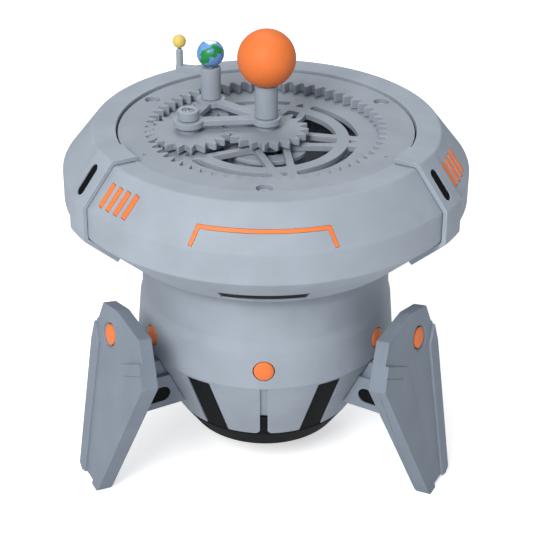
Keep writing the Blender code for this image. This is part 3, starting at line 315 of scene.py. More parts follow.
# ------------------------------------------------------------------ 2D lines
def fillet_line(points, radii, closed=True, steps=4):
    """Round the corners of a 2D line; radii is one number or one per corner."""
    count = len(points)
    if not isinstance(radii, (list, tuple)):
        radii = [radii] * count
    out = []
    for i, (x, y) in enumerate(points):
        radius = radii[i]
        if radius <= 0 or (not closed and i in (0, count - 1)):
            out.append((x, y))
            continue
        back_x, back_y = points[i - 1][0] - x, points[i - 1][1] - y
        next_x, next_y = points[(i + 1) % count][0] - x, points[(i + 1) % count][1] - y
        back, ahead = hypot(back_x, back_y), hypot(next_x, next_y)
        if back < 1e-9 or ahead < 1e-9:
            out.append((x, y))
            continue
        back_x, back_y = back_x / back, back_y / back
        next_x, next_y = next_x / ahead, next_y / ahead
        angle = acos(max(-1.0, min(1.0, back_x * next_x + back_y * next_y)))
        if angle > pi - 0.02:
            out.append((x, y))
            continue
        reach = min(radius / tan(angle / 2), 0.46 * back, 0.46 * ahead)
        radius = reach * tan(angle / 2)
        # the arc's centre lies along the bisector
        mid_x, mid_y = back_x + next_x, back_y + next_y
        mid = hypot(mid_x, mid_y)
        depth = radius / sin(angle / 2)
        centre_x, centre_y = x + mid_x / mid * depth, y + mid_y / mid * depth
        start = atan2(y + back_y * reach - centre_y, x + back_x * reach - centre_x)
        end = atan2(y + next_y * reach - centre_y, x + next_x * reach - centre_x)
        swing = end - start
        while swing > pi:
            swing -= 2 * pi
        while swing < -pi:
            swing += 2 * pi
        for k in range(steps + 1):
            angle = start + swing * k / steps
            out.append((centre_x + radius * cos(angle), centre_y + radius * sin(angle)))
    return out


def left_normal(start, end):
    run, rise = end[0] - start[0], end[1] - start[1]
    length = hypot(run, rise)
    return -rise / length, run / length


def offset_line(points, distance):
    """Move an open line to its left."""
    out = []
    last = len(points) - 1
    for i, (x, y) in enumerate(points):
        normals = [left_normal(points[j], points[j + 1]) for j in (i - 1, i) if 0 <= j < last]
        mean_x, mean_y = sum(v[0] for v in normals), sum(v[1] for v in normals)
        length = hypot(mean_x, mean_y)
        mean_x, mean_y = mean_x / length, mean_y / length
        reach = distance / (mean_x * normals[0][0] + mean_y * normals[0][1])
        out.append((x + mean_x * reach, y + mean_y * reach))
    return out


def inset(loop, distance):
    """Move a closed loop to its left."""
    out = []
    for i, (x, y) in enumerate(loop):
        before = left_normal(loop[i - 1], loop[i])
        after = left_normal(loop[i], loop[(i + 1) % len(loop)])
        sum_x, sum_y = before[0] + after[0], before[1] + after[1]
        share = max(sum_x * before[0] + sum_y * before[1], 0.35)
        out.append((x + sum_x * distance / share, y + sum_y * distance / share))
    return out


def signed_area(loop):
    return sum(x0 * y1 - x1 * y0 for (x0, y0), (x1, y1) in zip(loop, loop[1:] + loop[:1])) / 2


def clean_loop(loop, tolerance=1e-4):
    """Drop repeated points."""
    out = []
    for x, y in loop:
        if not out or hypot(x - out[-1][0], y - out[-1][1]) > tolerance:
            out.append((x, y))
    if hypot(out[0][0] - out[-1][0], out[0][1] - out[-1][1]) <= tolerance:
        out.pop()
    return out


def circle(radius, steps, x=0.0, y=0.0):
    angles = [2 * pi * i / steps for i in range(steps)]
    return [(x + radius * cos(angle), y + radius * sin(angle)) for angle in angles]


def rectangle(half_x, half_y):
    return [(-half_x, -half_y), (half_x, -half_y), (half_x, half_y), (-half_x, half_y)]


def stadium(length, width, steps):
    """Round-ended slot along y."""
    radius = width / 2
    centre = length / 2 - radius
    points = []
    for start, y in ((0, centre), (pi, -centre)):
        for i in range(steps + 1):
            angle = start + pi * i / steps
            points.append((radius * cos(angle), y + radius * sin(angle)))
    return points


# ------------------------------------------------------------------ mesh tools
@contextmanager
def editing(mesh):
    work = bmesh.new()
    work.from_mesh(mesh)
    yield work
    work.to_mesh(mesh)
    work.free()


def face_outward(work):
    bmesh.ops.recalc_face_normals(work, faces=work.faces)


def build_mesh(verts, faces, place=None, merge=False, flatten=False):
    mesh = bpy.data.meshes.new("shape")
    mesh.from_pydata(verts, [], faces)
    if place is not None:
        mesh.transform(place)
    with editing(mesh) as work:
        if merge:
            bmesh.ops.remove_doubles(work, verts=work.verts, dist=1e-7)
        face_outward(work)
        if flatten:
            bmesh.ops.dissolve_limit(work, angle_limit=radians(0.5), verts=work.verts,
                                     edges=work.edges, delimit={'NORMAL'})
    return mesh


def lathe(profile, steps, closed=True, at=(0.0, 0.0), place=None):
    """Turn an (r, z) profile; an open one starts and ends on the axis."""
    verts, faces, rings = [], [], []
    for radius, z in profile:
        start = len(verts)
        if radius < 1e-6:
            rings.append([start] * steps)
            verts.append((0.0, 0.0, z * MM))
        else:
            for i in range(steps):
                angle = 2 * pi * i / steps
                verts.append((radius * sin(angle) * MM, -radius * cos(angle) * MM, z * MM))
            rings.append(list(range(start, start + steps)))
    count = len(rings)
    for j in range(count if closed else count - 1):
        low, high = rings[j], rings[(j + 1) % count]
        for i in range(steps):
            k = (i + 1) % steps
            face = []
            for corner in (low[i], low[k], high[k], high[i]):
                if corner not in face:
                    face.append(corner)
            if len(face) >= 3:
                faces.append(face)
    if place is None:
        place = Matrix.Translation(spot(at[0], at[1], 0))
    return build_mesh(verts, faces, place)


def turned(points, radii, corner_steps, steps, closed=False, at=(0.0, 0.0), place=None):
    """Lathe of an (r, z) profile with rounded corners."""
    return lathe(fillet_line(points, radii, closed, corner_steps), steps, closed, at, place)


def cylinder(radius, z_low, z_high, steps, at=(0.0, 0.0), place=None):
    profile = [(0, z_low), (radius, z_low), (radius, z_high), (0, z_high)]
    return lathe(profile, steps, False, at, place)


def skin(rings):
    """Solid through a row of equal rings of points, with flat ends."""
    count, last = len(rings[0]), len(rings) - 1
    faces = []
    for i in range(last):
        for j in range(count):
            k = (j + 1) % count
            faces.append((i * count + j, i * count + k,
                          (i + 1) * count + k, (i + 1) * count + j))
    faces.append(tuple(range(count)))
    faces.append(tuple(last * count + j for j in reversed(range(count))))
    return build_mesh([point for ring in rings for point in ring], faces, merge=True)


def sweep(profile, start, end, steps):
    """Closed (r, z) profile carried round Z between two azimuths."""
    rings = []
    for i in range(steps + 1):
        angle = radians(start + (end - start) * i / steps)
        rings.append([(radius * sin(angle) * MM, -radius * cos(angle) * MM, (z + PLATE_Z) * MM)
                      for radius, z in profile])
    return skin(rings)


def prism(loops, bottom, top, top_round=0.0, low_round=0.0, place=None):
    """Flat solid with rounded rims: first loop outside, the others holes."""
    prepared = []
    for i, loop in enumerate(loops):
        loop = clean_loop(loop)
        if (i == 0) != (signed_area(loop) > 0):
            loop = loop[::-1]
        prepared.append(loop)
    levels = [(0.0, bottom)]                              # inset and height
    if low_round > 0:
        levels = [(low_round, bottom), (low_round * 0.3, bottom + low_round * 0.3),
                  (0.0, bottom + low_round)]
    if top_round > 0:
        levels += [(0.0, top - top_round), (top_round * 0.3, top - top_round * 0.3),
                   (top_round, top)]
    else:
        levels += [(0.0, top)]
    verts, faces, layers = [], [], []
    for depth, z in levels:
        rings = []
        for loop in prepared:
            points = inset(loop, depth) if depth > 0 else loop
            start = len(verts)
            verts += [(x * MM, y * MM, z * MM) for x, y in points]
            rings.append(range(start, start + len(points)))
        layers.append(rings)
    for low_rings, high_rings in zip(layers, layers[1:]):
        for low, high in zip(low_rings, high_rings):
            for i in range(len(low)):
                k = (i + 1) % len(low)
                faces.append((low[i], low[k], high[k], high[i]))
    for rings, flip in ((layers[0], True), (layers[-1], False)):
        flat = [vert for ring in rings for vert in ring]
        for corners in tessellate_polygon([[Vector(verts[v]) for v in ring] for ring in rings]):
            face = tuple(flat[i] for i in corners)
            faces.append(face[::-1] if flip else face)
    if place is None:
        place = Matrix.Translation(spot(0, 0, 0))
    return build_mesh(verts, faces, place, flatten=True)


def block(size, place):
    mesh = bpy.data.meshes.new("block")
    scale = Matrix.Diagonal((size[0] * MM, size[1] * MM, size[2] * MM, 1.0))
    with editing(mesh) as work:
        bmesh.ops.create_cube(work, size=1.0, matrix=place @ scale)
        face_outward(work)
    return mesh


def joined(meshes):
    out = bpy.data.meshes.new("joined")
    work = bmesh.new()
    for mesh in meshes:
        work.from_mesh(mesh)
    work.to_mesh(out)
    work.free()
    return out


def link_object(name, data):
    obj = bpy.data.objects.new(name, data)
    bpy.context.scene.collection.objects.link(obj)
    return obj


def baked(obj):
    """Mesh of an object with its modifiers applied."""
    graph = bpy.context.evaluated_depsgraph_get()
    graph.update()
    return bpy.data.meshes.new_from_object(obj.evaluated_get(graph))


def carve(base, cutters, operation='DIFFERENCE'):
    """Boolean a list of closed meshes onto a base mesh."""
    objects = [link_object("carved", base)]
    for cutter in cutters:
        objects.append(link_object("cutter", cutter))
        modifier = objects[0].modifiers.new("boolean", 'BOOLEAN')
        modifier.operation = operation
        modifier.solver = 'EXACT'
        modifier.object = objects[-1]
    out = baked(objects[0])
    for obj in objects:
        bpy.data.objects.remove(obj, do_unlink=True)
    return out


def bevelled(mesh, width, segments=2, angle=32.0, miter='MITER_ARC'):
    """Copy of a mesh with the edges sharper than an angle rounded."""
    obj = link_object("bevelled", mesh)
    modifier = obj.modifiers.new("bevel", 'BEVEL')
    modifier.width = width * MM
    modifier.segments = segments
    modifier.limit_method = 'ANGLE'
    modifier.angle_limit = radians(angle)
    modifier.use_clamp_overlap = True
    modifier.miter_outer = miter
    out = baked(obj)
    bpy.data.objects.remove(obj, do_unlink=True)
    return out


def piece(node, mesh, finish, body="base", crease=30.0, name=None):
    """Finish a mesh as the piece that stands for a CAD node, if it has one."""
    material, slot = finish
    obj = link_object(name or node + "_look", mesh)
    mesh.materials.clear()
    mesh.materials.append(material)
    mesh.shade_smooth()
    mesh.set_sharp_from_angle(angle=radians(crease))
    weighted = obj.modifiers.new("weighted", 'WEIGHTED_NORMAL')
    weighted.keep_sharp = True
    weighted.weight = 60
    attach(obj, body)
    if node:
        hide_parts(node)


def screw_holes(bottom, top):
    return [cylinder(SCREW_HOLE_R, bottom, top, 24, at=axis_xy(SCREW_R, azimuth))
            for azimuth in THIRDS.values()]


# ------------------------------------------------------------------ housing
HOUSING_OUTER = [(RIM_R, RIM_Z), (CREASE_R, CREASE_Z), (BELT_R, BELT_TOP),
                 (BELT_R, BELT_BOTTOM), (BASE_R, BASE_Z)]                   # (r, z)
HOUSING_ROUND = [0.35, 1.3, 1.5, 1.5, 0.8]
HOUSING_INNER = [(50.0, BASE_Z), (50.0, BASE_Z + 2.6), (58.3, -41.2), (76.4, -24.6),
                 (76.4, -14.4), (66.5, -1.5), (61.0, -1.5), (61.0, -9.3), (49.2, -9.3),
                 (49.2, -6.7), (RIM_R, -6.7)]
STRIPE_R0, STRIPE_R1 = 70.75, 76.85
STRIPE_MID_R = (STRIPE_R0 + STRIPE_R1) / 2
STRIPE_WIDTH = 2.3
STRIPE_OFFSETS = [9.15 + 3.38 * i for i in range(4)]      # azimuths from a clamp band
LINE_R, LINE_END_R, LINE_WIDTH = 73.75, BELT_R - 0.75, 1.5
LINE_ARC_AZ, LINE_END_AZ = 18.2, 19.4                     # half spans of its arc and ends
LIGHT_R0, LIGHT_R1, LIGHT_HALF_AZ = 62.4, 67.2, 14.3


def lower_slope_z(radius):
    """Height of the housing's lower slope."""
    return BELT_BOTTOM + (BELT_R - radius) * (BASE_Z - BELT_BOTTOM) / (BELT_R - BASE_R)


def stripe(azimuth, offset, grow, top, bottom, top_round):
    """One slanting stripe on the cone, offset from its clamp band."""
    length = (STRIPE_R1 - STRIPE_R0) * CONE_STRETCH + 2 * grow
    width = STRIPE_WIDTH + 2 * grow
    slant = -atan2(tan(radians(offset)), CONE_STRETCH)
    place = surface_frame(CONE, STRIPE_MID_R, azimuth + offset) @ turn_z(slant)
    loop = fillet_line(rectangle(width / 2, length / 2), 0.3, True, 3)
    return prism([loop], bottom, top, top_round, place=place)


def bracket_line(grow, top, bottom):
    """Strip in the shape of a square bracket, laid on the front of the cone."""
    end_r = LINE_END_R + grow / CONE_STRETCH
    steps = 28
    line = [(end_r, -LINE_END_AZ)]
    line += [(LINE_R, -LINE_ARC_AZ + 2 * LINE_ARC_AZ * i / steps) for i in range(steps + 1)]
    line += [(end_r, LINE_END_AZ)]
    # unroll the cone: distance from the apex and unrolled angle
    unroll = 1.0 / CONE_STRETCH
    flat = []
    for radius, azimuth in line:
        slant_r = radius / unroll
        angle = radians(azimuth) * unroll
        flat.append((slant_r * sin(angle), -slant_r * cos(angle)))
    half = LINE_WIDTH / 2 + grow

    def rolled(point, height):
        azimuth = degrees(atan2(point[0], -point[1]) / unroll)
        return surface_frame(CONE, hypot(*point) * unroll, azimuth, height).translation

    return skin([[rolled(left, top), rolled(right, top), rolled(right, bottom),
                  rolled(left, bottom)]
                 for left, right in zip(offset_line(flat, half), offset_line(flat, -half))])


def light_slot(azimuth, grow, top, bottom):
    """Arc-shaped slab on the housing's lower slope."""
    line = [(r, lower_slope_z(r)) for r in (LIGHT_R1 + grow, LIGHT_R0 - grow)]
    half = LIGHT_HALF_AZ + degrees(grow / LIGHT_R1)
    profile = offset_line(line, top) + offset_line(line, bottom)[::-1]
    return sweep(profile, azimuth - half, azimuth + half, 24)


def make_housing():
    radii = HOUSING_ROUND + [0.0] * len(HOUSING_INNER)
    shell = turned(HOUSING_OUTER + HOUSING_INNER, radii, 6, 240, closed=True)
    cutters = [stripe(azimuth, offset, 0.14, top=2.0, bottom=-4.2, top_round=0.0)
               for azimuth in LEG_AZ.values() for offset in STRIPE_OFFSETS]
    cutters.append(bracket_line(0.12, top=1.6, bottom=-1.5))
    cutters += [light_slot(azimuth, 0.3, top=1.6, bottom=-1.7) for azimuth in THIRDS.values()]
    cutters += screw_holes(-11.0, -5.5)
    piece("housing_shell", carve(shell, [joined(cutters)]), GREY, crease=24.0)

    # each set of four stripes stands on a hidden strip
    for side, azimuth in LEG_AZ.items():
        middle = surface_frame(CONE, STRIPE_MID_R, azimuth + sum(STRIPE_OFFSETS) / 4)
        strip = block((16.0, 9.0, 1.2), middle @ shift(z=-3.9))
        bars = [stripe(azimuth, offset, 0.0, top=0.3, bottom=-3.9, top_round=0.45)
                for offset in STRIPE_OFFSETS]
        piece("stripe_inlay_" + side, carve(strip, [joined(bars)], 'UNION'), ORANGE)
    piece("bracket_inlay", bevelled(bracket_line(0.0, top=0.15, bottom=-1.2), 0.16), ORANGE)
    for side, azimuth in THIRDS.items():
        lamp = light_slot(azimuth, 0.0, top=-0.3, bottom=-1.4)
        piece("light_slot_" + side, bevelled(lamp, 0.25), BLACK)


# ------------------------------------------------------------------ clamp bands
CLIP_WIDTH, CLIP_GAP, CLIP_RISE = 12.6, 0.3, 2.0
CLIP_END_R = 66.4
CLIP_LINE = [(RIM_R + 0.4, RIM_Z), (CREASE_R, CREASE_Z), (BELT_R, BELT_TOP),
             (BELT_R, BELT_BOTTOM), (CLIP_END_R, lower_slope_z(CLIP_END_R))]


def make_clamp_bands():
    outside = fillet_line(offset_line(CLIP_LINE, CLIP_RISE), [0, 1.6, 1.8, 1.8, 0], False, 5)
    inside = fillet_line(offset_line(CLIP_LINE, CLIP_GAP), [0, 1.0, 1.2, 1.2, 0], False, 5)
    for side, azimuth in LEG_AZ.items():
        band = sweep(outside + inside[::-1], azimuth - 7.5, azimuth + 7.5, 24)
        # trim the band to parallel sides
        trim = block((CLIP_WIDTH, 60.0, 90.0),
                     turn_z(radians(azimuth)) @ shift(y=-70.0, z=PLATE_Z - 20.0))
        band = bevelled(carve(band, [trim], 'INTERSECT'), 0.6, 4, 35.0, 'MITER_SHARP')
        place = surface_frame(CONE, 73.5, azimuth) @ shift(x=-1.0)
        slot = prism([stadium(13.2, 4.4, 16)], -1.5, 4.0, place=place)
        piece("clamp_band_" + side, carve(band, [slot]), GREY, crease=28.0)
        insert = prism([stadium(12.7, 3.9, 16)], 0.35, 1.8, top_round=0.3, place=place)
        piece("slot_insert_" + side, insert, BLACK)


# ------------------------------------------------------------------ gears
MODULE = 1.5
TEETH_RING, TEETH_SUN, TEETH_PLANET, TEETH_MOON = 60, 20, 20, 10
TOOTH_FLANK = 24.0                                        # degrees
TOOTH_ROOT = 1.85                                         # depth below the pitch circle
BACKLASH = 0.4
GEAR_THICK = 2.8
PLANET_AZ = -83.8
PLATE_R, PLATE_T = 57.3, 3.7


def gear_outline(teeth, tip, phase, slack, soft, internal=False):
    """Trapezoid teeth, each side thinned by slack, with corners rounded by soft."""
    pitch_r = MODULE * teeth / 2
    outward = 1.0 if internal else -1.0
    slope = tan(radians(TOOTH_FLANK))

    def half_angle(radius):
        width = (pi * MODULE / 4 + outward * (radius - pitch_r) * slope
                 - BACKLASH / 4 - slack)
        return min(width / radius, 0.46 * 2 * pi / teeth)

    tip_r = pitch_r - tip * outward
    root_r = pitch_r + TOOTH_ROOT * outward
    root_half, tip_half = half_angle(root_r), half_angle(tip_r)
    points = []
    for k in range(teeth):
        middle = phase + k * (2 * pi / teeth)
        for radius, angle in ((root_r, -root_half), (tip_r, -tip_half),
                              (tip_r, tip_half), (root_r, root_half)):
            points.append((radius * cos(middle + angle), radius * sin(middle + angle)))
    return fillet_line(points, soft, True, 3)


def hub_gear(teeth, phase, bore, boss_r, boss_top, at, slack=0.06):
    outline = gear_outline(teeth, tip=1.4, phase=phase, slack=slack, soft=0.4)
    disc = prism([outline], -GEAR_THICK, 0.0, 0.2, 0.2, Matrix.Translation(spot(*at, 0)))
    boss = turned([(0, -1.2), (boss_r, -1.2), (boss_r, boss_top), (0, boss_top)],
                  [0, 0, 0.25, 0], 4, 64, at=at)
    blank = carve(disc, [boss], 'UNION')
    return carve(blank, [cylinder(bore, -GEAR_THICK - 1.0, boss_top + 1.0, 40, at=at)])


def make_plate():
    """Ring gear plate with counterbored screw holes and pin marks, and its screws."""
    ring = gear_outline(TEETH_RING, tip=1.45, phase=radians(PLANET_AZ - 90) + pi / TEETH_RING,
                        slack=0.08, soft=0.35, internal=True)
    plate = prism([circle(PLATE_R, 240), ring], -PLATE_T, 0.0, 0.18, 0.1)
    counterbore = [(0, -5.0), (SCREW_HOLE_R, -5.0), (SCREW_HOLE_R, -3.0), (3.05, -3.0),
                   (3.05, -0.22), (3.3, 0.0), (3.3, 1.0), (0, 1.0)]
    cuts = [lathe(counterbore, 40, closed=False, at=axis_xy(SCREW_R, azimuth))
            for azimuth in THIRDS.values()]
    cuts += [cylinder(0.8, -1.2, 1.0, 20, at=axis_xy(52.0, azimuth))
             for azimuth in (60, 180, -60)]
    piece("ring_gear_plate", carve(plate, [joined(cuts)]), GEAR)
    for side, azimuth in THIRDS.items():
        x, y = axis_xy(SCREW_R, azimuth)
        screw = turned([(0, -1.6), (2.75, -1.6), (2.75, -2.8), (1.5, -2.8), (1.5, -11.5),
                        (0, -11.5)], [0, 0.45, 0.0, 0.0, 0.3, 0], 4, 40, at=(x, y))
        hexagon = prism([circle(1.2, 6, x, y)], -2.5, 0.5)
        piece("plate_screw_" + side, carve(screw, [hexagon]), GREY)


def make_gears():
    to_planet = radians(PLANET_AZ - 90)
    to_earth = atan2(EARTH[1] - PLANET[1], EARTH[0] - PLANET[0])
    # turn the moon gear so that its gaps meet the planet's teeth
    tooth = 2 * pi / TEETH_PLANET
    steps = (to_earth - to_planet) / tooth
    lag = (steps - round(steps)) * tooth
    moon_phase = to_earth + pi + lag * TEETH_PLANET / TEETH_MOON + pi / TEETH_MOON
    boss_top = top_of("planet_gear")
    piece("sun_gear", hub_gear(TEETH_SUN, to_planet + pi / TEETH_SUN, bore=2.5, boss_r=3.8,
                               boss_top=boss_top, at=(0.0, 0.0)), GEAR, "sun_drive")
    piece("planet_gear", hub_gear(TEETH_PLANET, to_planet, bore=2.6, boss_r=3.9,
                                  boss_top=boss_top, at=PLANET), GEAR, "planet")
    piece("moon_gear", hub_gear(TEETH_MOON, moon_phase, bore=1.6, boss_r=3.6,
                                boss_top=boss_top, at=EARTH, slack=0.16), GEAR, "moon")


# ------------------------------------------------------------------ star grille
GRILLE_TOP, GRILLE_T = -4.0, 2.4
GRILLE_R, SLOT_OUT, RING_OUT, RING_IN, HUB_R = 57.1, 35.7, 32.3, 27.4, 9.5
BAR_TANGENT, STAR_R, STAR_AZ = 6.5, 66.0, 12.4
BAR_HALF_0, BAR_TAPER = 1.96, 0.0121     # half width at the star's point, and its loss per mm


def star_bars():
    """Two bars from each star point: its x and y, direction inwards, point index."""
    bars = []
    for i in range(5):
        x, y = axis_xy(STAR_R, STAR_AZ + 72.0 * i)
        for side in (-1, 1):
            lean = side * atan2(BAR_TANGENT, sqrt(STAR_R * STAR_R - BAR_TANGENT * BAR_TANGENT))
            angle = atan2(-y, -x) + lean
            bars.append((x, y, cos(angle), sin(angle), i))
    return bars


def bar_side(bar, toward):
    """Edge of a bar on the side of a point: a point on it and the normal that way."""
    x, y, along_x, along_y, _ = bar
    normal_x, normal_y = -along_y, along_x
    if (toward[0] - x) * normal_x + (toward[1] - y) * normal_y < 0:
        normal_x, normal_y = -normal_x, -normal_y
    return (x + normal_x * BAR_HALF_0, y + normal_y * BAR_HALF_0,
            normal_x + along_x * BAR_TAPER, normal_y + along_y * BAR_TAPER)


def clip_half(loop, x, y, normal_x, normal_y):
    """Keep the part of a loop on the normal's side of a line through (x, y)."""
    out = []
    for i, here in enumerate(loop):
        after = loop[(i + 1) % len(loop)]
        depth = (here[0] - x) * normal_x + (here[1] - y) * normal_y
        depth_after = (after[0] - x) * normal_x + (after[1] - y) * normal_y
        if depth >= 0:
            out.append(here)
        if (depth >= 0) != (depth_after >= 0):
            share = depth / (depth - depth_after)
            out.append((here[0] + (after[0] - here[0]) * share,
                        here[1] + (after[1] - here[1]) * share))
    return out


def arc_points(radius, start, end, steps=28):
    angles = [start + (end - start) * i / steps for i in range(steps + 1)]
    return [(radius * cos(angle), radius * sin(angle)) for angle in angles]


def opening(inner_r, outer_r, middle, half, bars, seed_r):
    """Ring sector cut back to the sides of the bars that face a seed point."""
    loop = (arc_points(outer_r, middle - half, middle + half)
            + arc_points(inner_r, middle + half, middle - half))
    seed = (cos(middle) * seed_r, sin(middle) * seed_r)
    for bar in bars:
        loop = clip_half(loop, *bar_side(bar, seed))
        if len(loop) < 3:
            return None
    loop = clean_loop(loop, 0.02)
    if len(loop) < 3 or abs(signed_area(loop)) < 1.0:
        return None
    return loop


def round_corners(loop, radius):
    """Round only the real corners of a loop made of short arc steps."""
    count = len(loop)
    corner = []
    for i, (x, y) in enumerate(loop):
        before, after = loop[i - 1], loop[(i + 1) % count]
        heading = atan2(y - before[1], x - before[0])
        next_heading = atan2(after[1] - y, after[0] - x)
        bend = abs((next_heading - heading + pi) % (2 * pi) - pi)
        corner.append(bend > radians(22))

    def near_corner(i):
        return any(corner[j] and hypot(loop[i][0] - loop[j][0], loop[i][1] - loop[j][1])
                   < radius * 1.6 for j in range(count))

    # arc points close to a corner go, so that its fillet has room
    keep = [i for i in range(count) if corner[i] or not near_corner(i)]
    return fillet_line([loop[i] for i in keep], [radius if corner[i] else 0.0 for i in keep],
                       True, 5)


def make_grille():
    bars = star_bars()
    holes = []
    star = radians(STAR_AZ - 90)
    for i in range(5):
        between = star + radians(72 * i + 36)
        point = star + radians(72 * i)
        around = [bar for bar in bars if bar[-1] in (i, (i + 1) % 5)]
        own = [bar for bar in bars if bar[-1] == i]
        # between two star points outside and inside the ring, then inside the point's own V
        for loop, corner in (
                (opening(RING_OUT, SLOT_OUT, between, radians(34.0), around, 35.0), 0.9),
                (opening(HUB_R, RING_IN, between, radians(60.0), around, 22.0), 0.9),
                (opening(HUB_R, RING_IN, point, radians(30.0), own, 22.0), 0.6)):
            if loop:
                holes.append(round_corners(loop, corner))
        # narrow wedge between the ring and the rim, (outwards, sideways)
        wedge = [(RING_OUT, -1.75), (RING_OUT, 1.75), (SLOT_OUT - 0.4, 0.5),
                 (SLOT_OUT - 0.4, -0.5)]
        holes.append(fillet_line([(x * cos(point) - y * sin(point),
                                   x * sin(point) + y * cos(point)) for x, y in wedge],
                                 0.35, True, 3))
    grille = prism([circle(GRILLE_R, 180)] + holes + [circle(4.2, 48)],
                   GRILLE_TOP - GRILLE_T, GRILLE_TOP, 0.3, 0.2)
    piece("star_grille", carve(grille, [joined(screw_holes(-8.0, -3.0))]), GEAR)


# ------------------------------------------------------------------ body and core
BODY_LINE = [(46.6, BASE_Z - 0.3), (48.7, -47.6), (49.6, -53.5), (49.9, -67.0),
             (BODY_R, BAND_TOP)] + LOWER_CONE                               # (r, z)
BODY_ROUND = [1.0, 6.0, 8.0, 6.0, 1.0, 1.2, 0.5]
WINDOW_W, WINDOW_TOP, WINDOW_ROUND = 10.3, -87.6, 0.7
SLOT_HALF, SLOT_TOP, SLOT_FLARE = 1.55, -105.9, 2.6
PLUG_Z = -79.0
LINER_GAP, LINER_T = 0.35, 1.8


def upright_frame(azimuth):
    """Local X runs sideways, Y up and Z towards the axis."""
    return turn_z(radians(azimuth)) @ Matrix(
        ((1, 0, 0, 0), (0, 0, 1, 0), (0, 1, 0, PLATE_Z * MM), (0, 0, 0, 1)))


def window_cut(azimuth, gap=0.0):
    """Window with rounded upper corners, open at the bottom."""
    half = WINDOW_W / 2 - gap
    top = WINDOW_TOP - gap
    corner = WINDOW_ROUND - gap
    loop = fillet_line([(-half, -124.0), (half, -124.0), (half, top), (-half, top)],
                       [0, 0, corner, corner], True, 5)
    return prism([loop], -59.0, -33.0, place=upright_frame(azimuth))


def slot_cut(azimuth, gap=0.0):
    """Narrow slot open below, with its lower corners rounded away."""
    half, top, foot = SLOT_HALF - gap, SLOT_TOP - gap, CONE_END_Z - 4.0
    flare_z = CONE_END_Z + SLOT_FLARE
    wide = SLOT_HALF + SLOT_FLARE
    arc = []
    for i in range(1, 9):
        angle = pi / 2 * i / 8
        arc.append((wide - (SLOT_FLARE + gap) * cos(angle),
                    flare_z - (SLOT_FLARE + gap) * sin(angle)))
    loop = [(-half, top), (-half, flare_z)] + [(-x, y) for x, y in arc]
    loop += [(-wide, foot), (wide, foot)] + arc[::-1] + [(half, flare_z), (half, top)]
    return prism([loop], -56.0, -30.0, place=upright_frame(azimuth))


def openings(gap=0.0):
    return ([window_cut(30 + 60 * k, gap) for k in range(6)]
            + [slot_cut(120 * k, gap) for k in range(3)])


def band_frame(azimuth):
    """Frame on the body's band with Z out of it."""
    tilt = atan2(BAND_R - BODY_R, BAND_TOP - BAND_BOTTOM)
    return (Matrix.Translation(polar((BODY_R + BAND_R) / 2, azimuth, PLUG_Z))
            @ turn_z(radians(azimuth)) @ Matrix.Rotation(pi / 2 - tilt, 4, 'X'))


def plug(dome, place):
    """Round plug under a domed (r, z) face."""
    profile = dome + [(dome[-1][0], -2.6), (0, -2.6)]
    return turned(profile, [0, 3.0, 0.35, 0.2, 0], 5, 64, place=place)


def make_body():
    inner_line = offset_line(BODY_LINE, -WALL)
    tail = [(inner_line[-1][0], CONE_END_Z)] + inner_line[1:-1][::-1]
    tail += [(44.0, -46.2), (40.0, -46.2), (40.0, BASE_Z - 0.3)]
    radii = BODY_ROUND + [0.4] + [0.0] * (len(tail) - 1)
    shell = turned(BODY_LINE + tail, radii, 6, 240, closed=True)
    plug_holes = [cylinder(4.3, -4.5, 3.0, 40, place=band_frame(60 * k)) for k in range(6)]
    grooves = [block((3.1, 22.4, 2.4), surface_frame(LOWER_CONE, 47.6, 120 * k) @ shift(y=-1.0))
               for k in range(3)]
    shell = carve(shell, [joined(openings() + plug_holes), joined(grooves)])
    piece("body_shell", shell, GREY, crease=24.0)
    for k, side in enumerate(("front", "front_right", "back_right",
                              "back", "back_left", "front_left")):
        dome = [(0, 0.75), (2.4, 0.62), (3.9, 0.1)]
        piece("body_plug_" + side, plug(dome, band_frame(60 * k)), ORANGE)


def make_core():
    top_z = BAND_BOTTOM + 2.3
    top_r = BAND_R - (top_z - BAND_BOTTOM) * (BAND_R - BODY_R) / (BAND_TOP - BAND_BOTTOM)
    liner_line = [(top_r, top_z)] + LOWER_CONE
    outside = offset_line(liner_line, -WALL - LINER_GAP)
    inside = offset_line(liner_line, -WALL - LINER_GAP - LINER_T)
    # a cup: from the axis over its floor, up inside, down outside and back to the axis
    profile = [(0, CORE_END_Z + 2.4), (28.6, CORE_END_Z + 2.4),
               (inside[2][0], CONE_END_Z - 1.0), inside[1], inside[0], *outside,
               (outside[2][0], CONE_END_Z - 0.3), (CONE_END_R - 0.2, CONE_END_Z - 0.3),
               (CORE_END_R, CORE_END_Z), (0, CORE_END_Z)]
    radii = [0, 0.5, 0.5, 0.5, 0.3, 0.3, 0.5, 0.2, 0.0, 0.5, 0.9, 0]
    core = turned(profile, radii, 4, 240)
    # raised pads standing in the windows and slots of the shell
    slope = (BAND_R - CONE_END_R) / (BAND_BOTTOM - CONE_END_Z)
    pad_line = [(BAND_R - 1.0 * slope, BAND_BOTTOM - 1.0),
                (CONE_END_R - 0.9 * slope, CONE_END_Z - 0.9)]
    pad_ring = lathe(offset_line(pad_line, -0.45) + offset_line(pad_line, -WALL - 1.2)[::-1],
                     240)
    pads = carve(pad_ring, [joined(openings(gap=0.3))], 'INTERSECT')
    core = carve(core, [pads], 'UNION')
    switch_slot = block((SWITCH_TRAVEL + 5.6, 4.6, 8.0),
                        Matrix.Translation(spot(0, SWITCH_Y, CORE_END_Z)))
    piece("base_core", carve(core, [switch_slot]), BLACK, crease=28.0)


# ------------------------------------------------------------------ legs
LEG_LEAN = radians(9.0)
LEG_R, LEG_Z, LEG_T = 69.9, -73.3, 5.6                    # plug centre, and thickness
LEG_HAND = {"left": 1, "right": -1, "back": 1}            # the right leg is mirrored
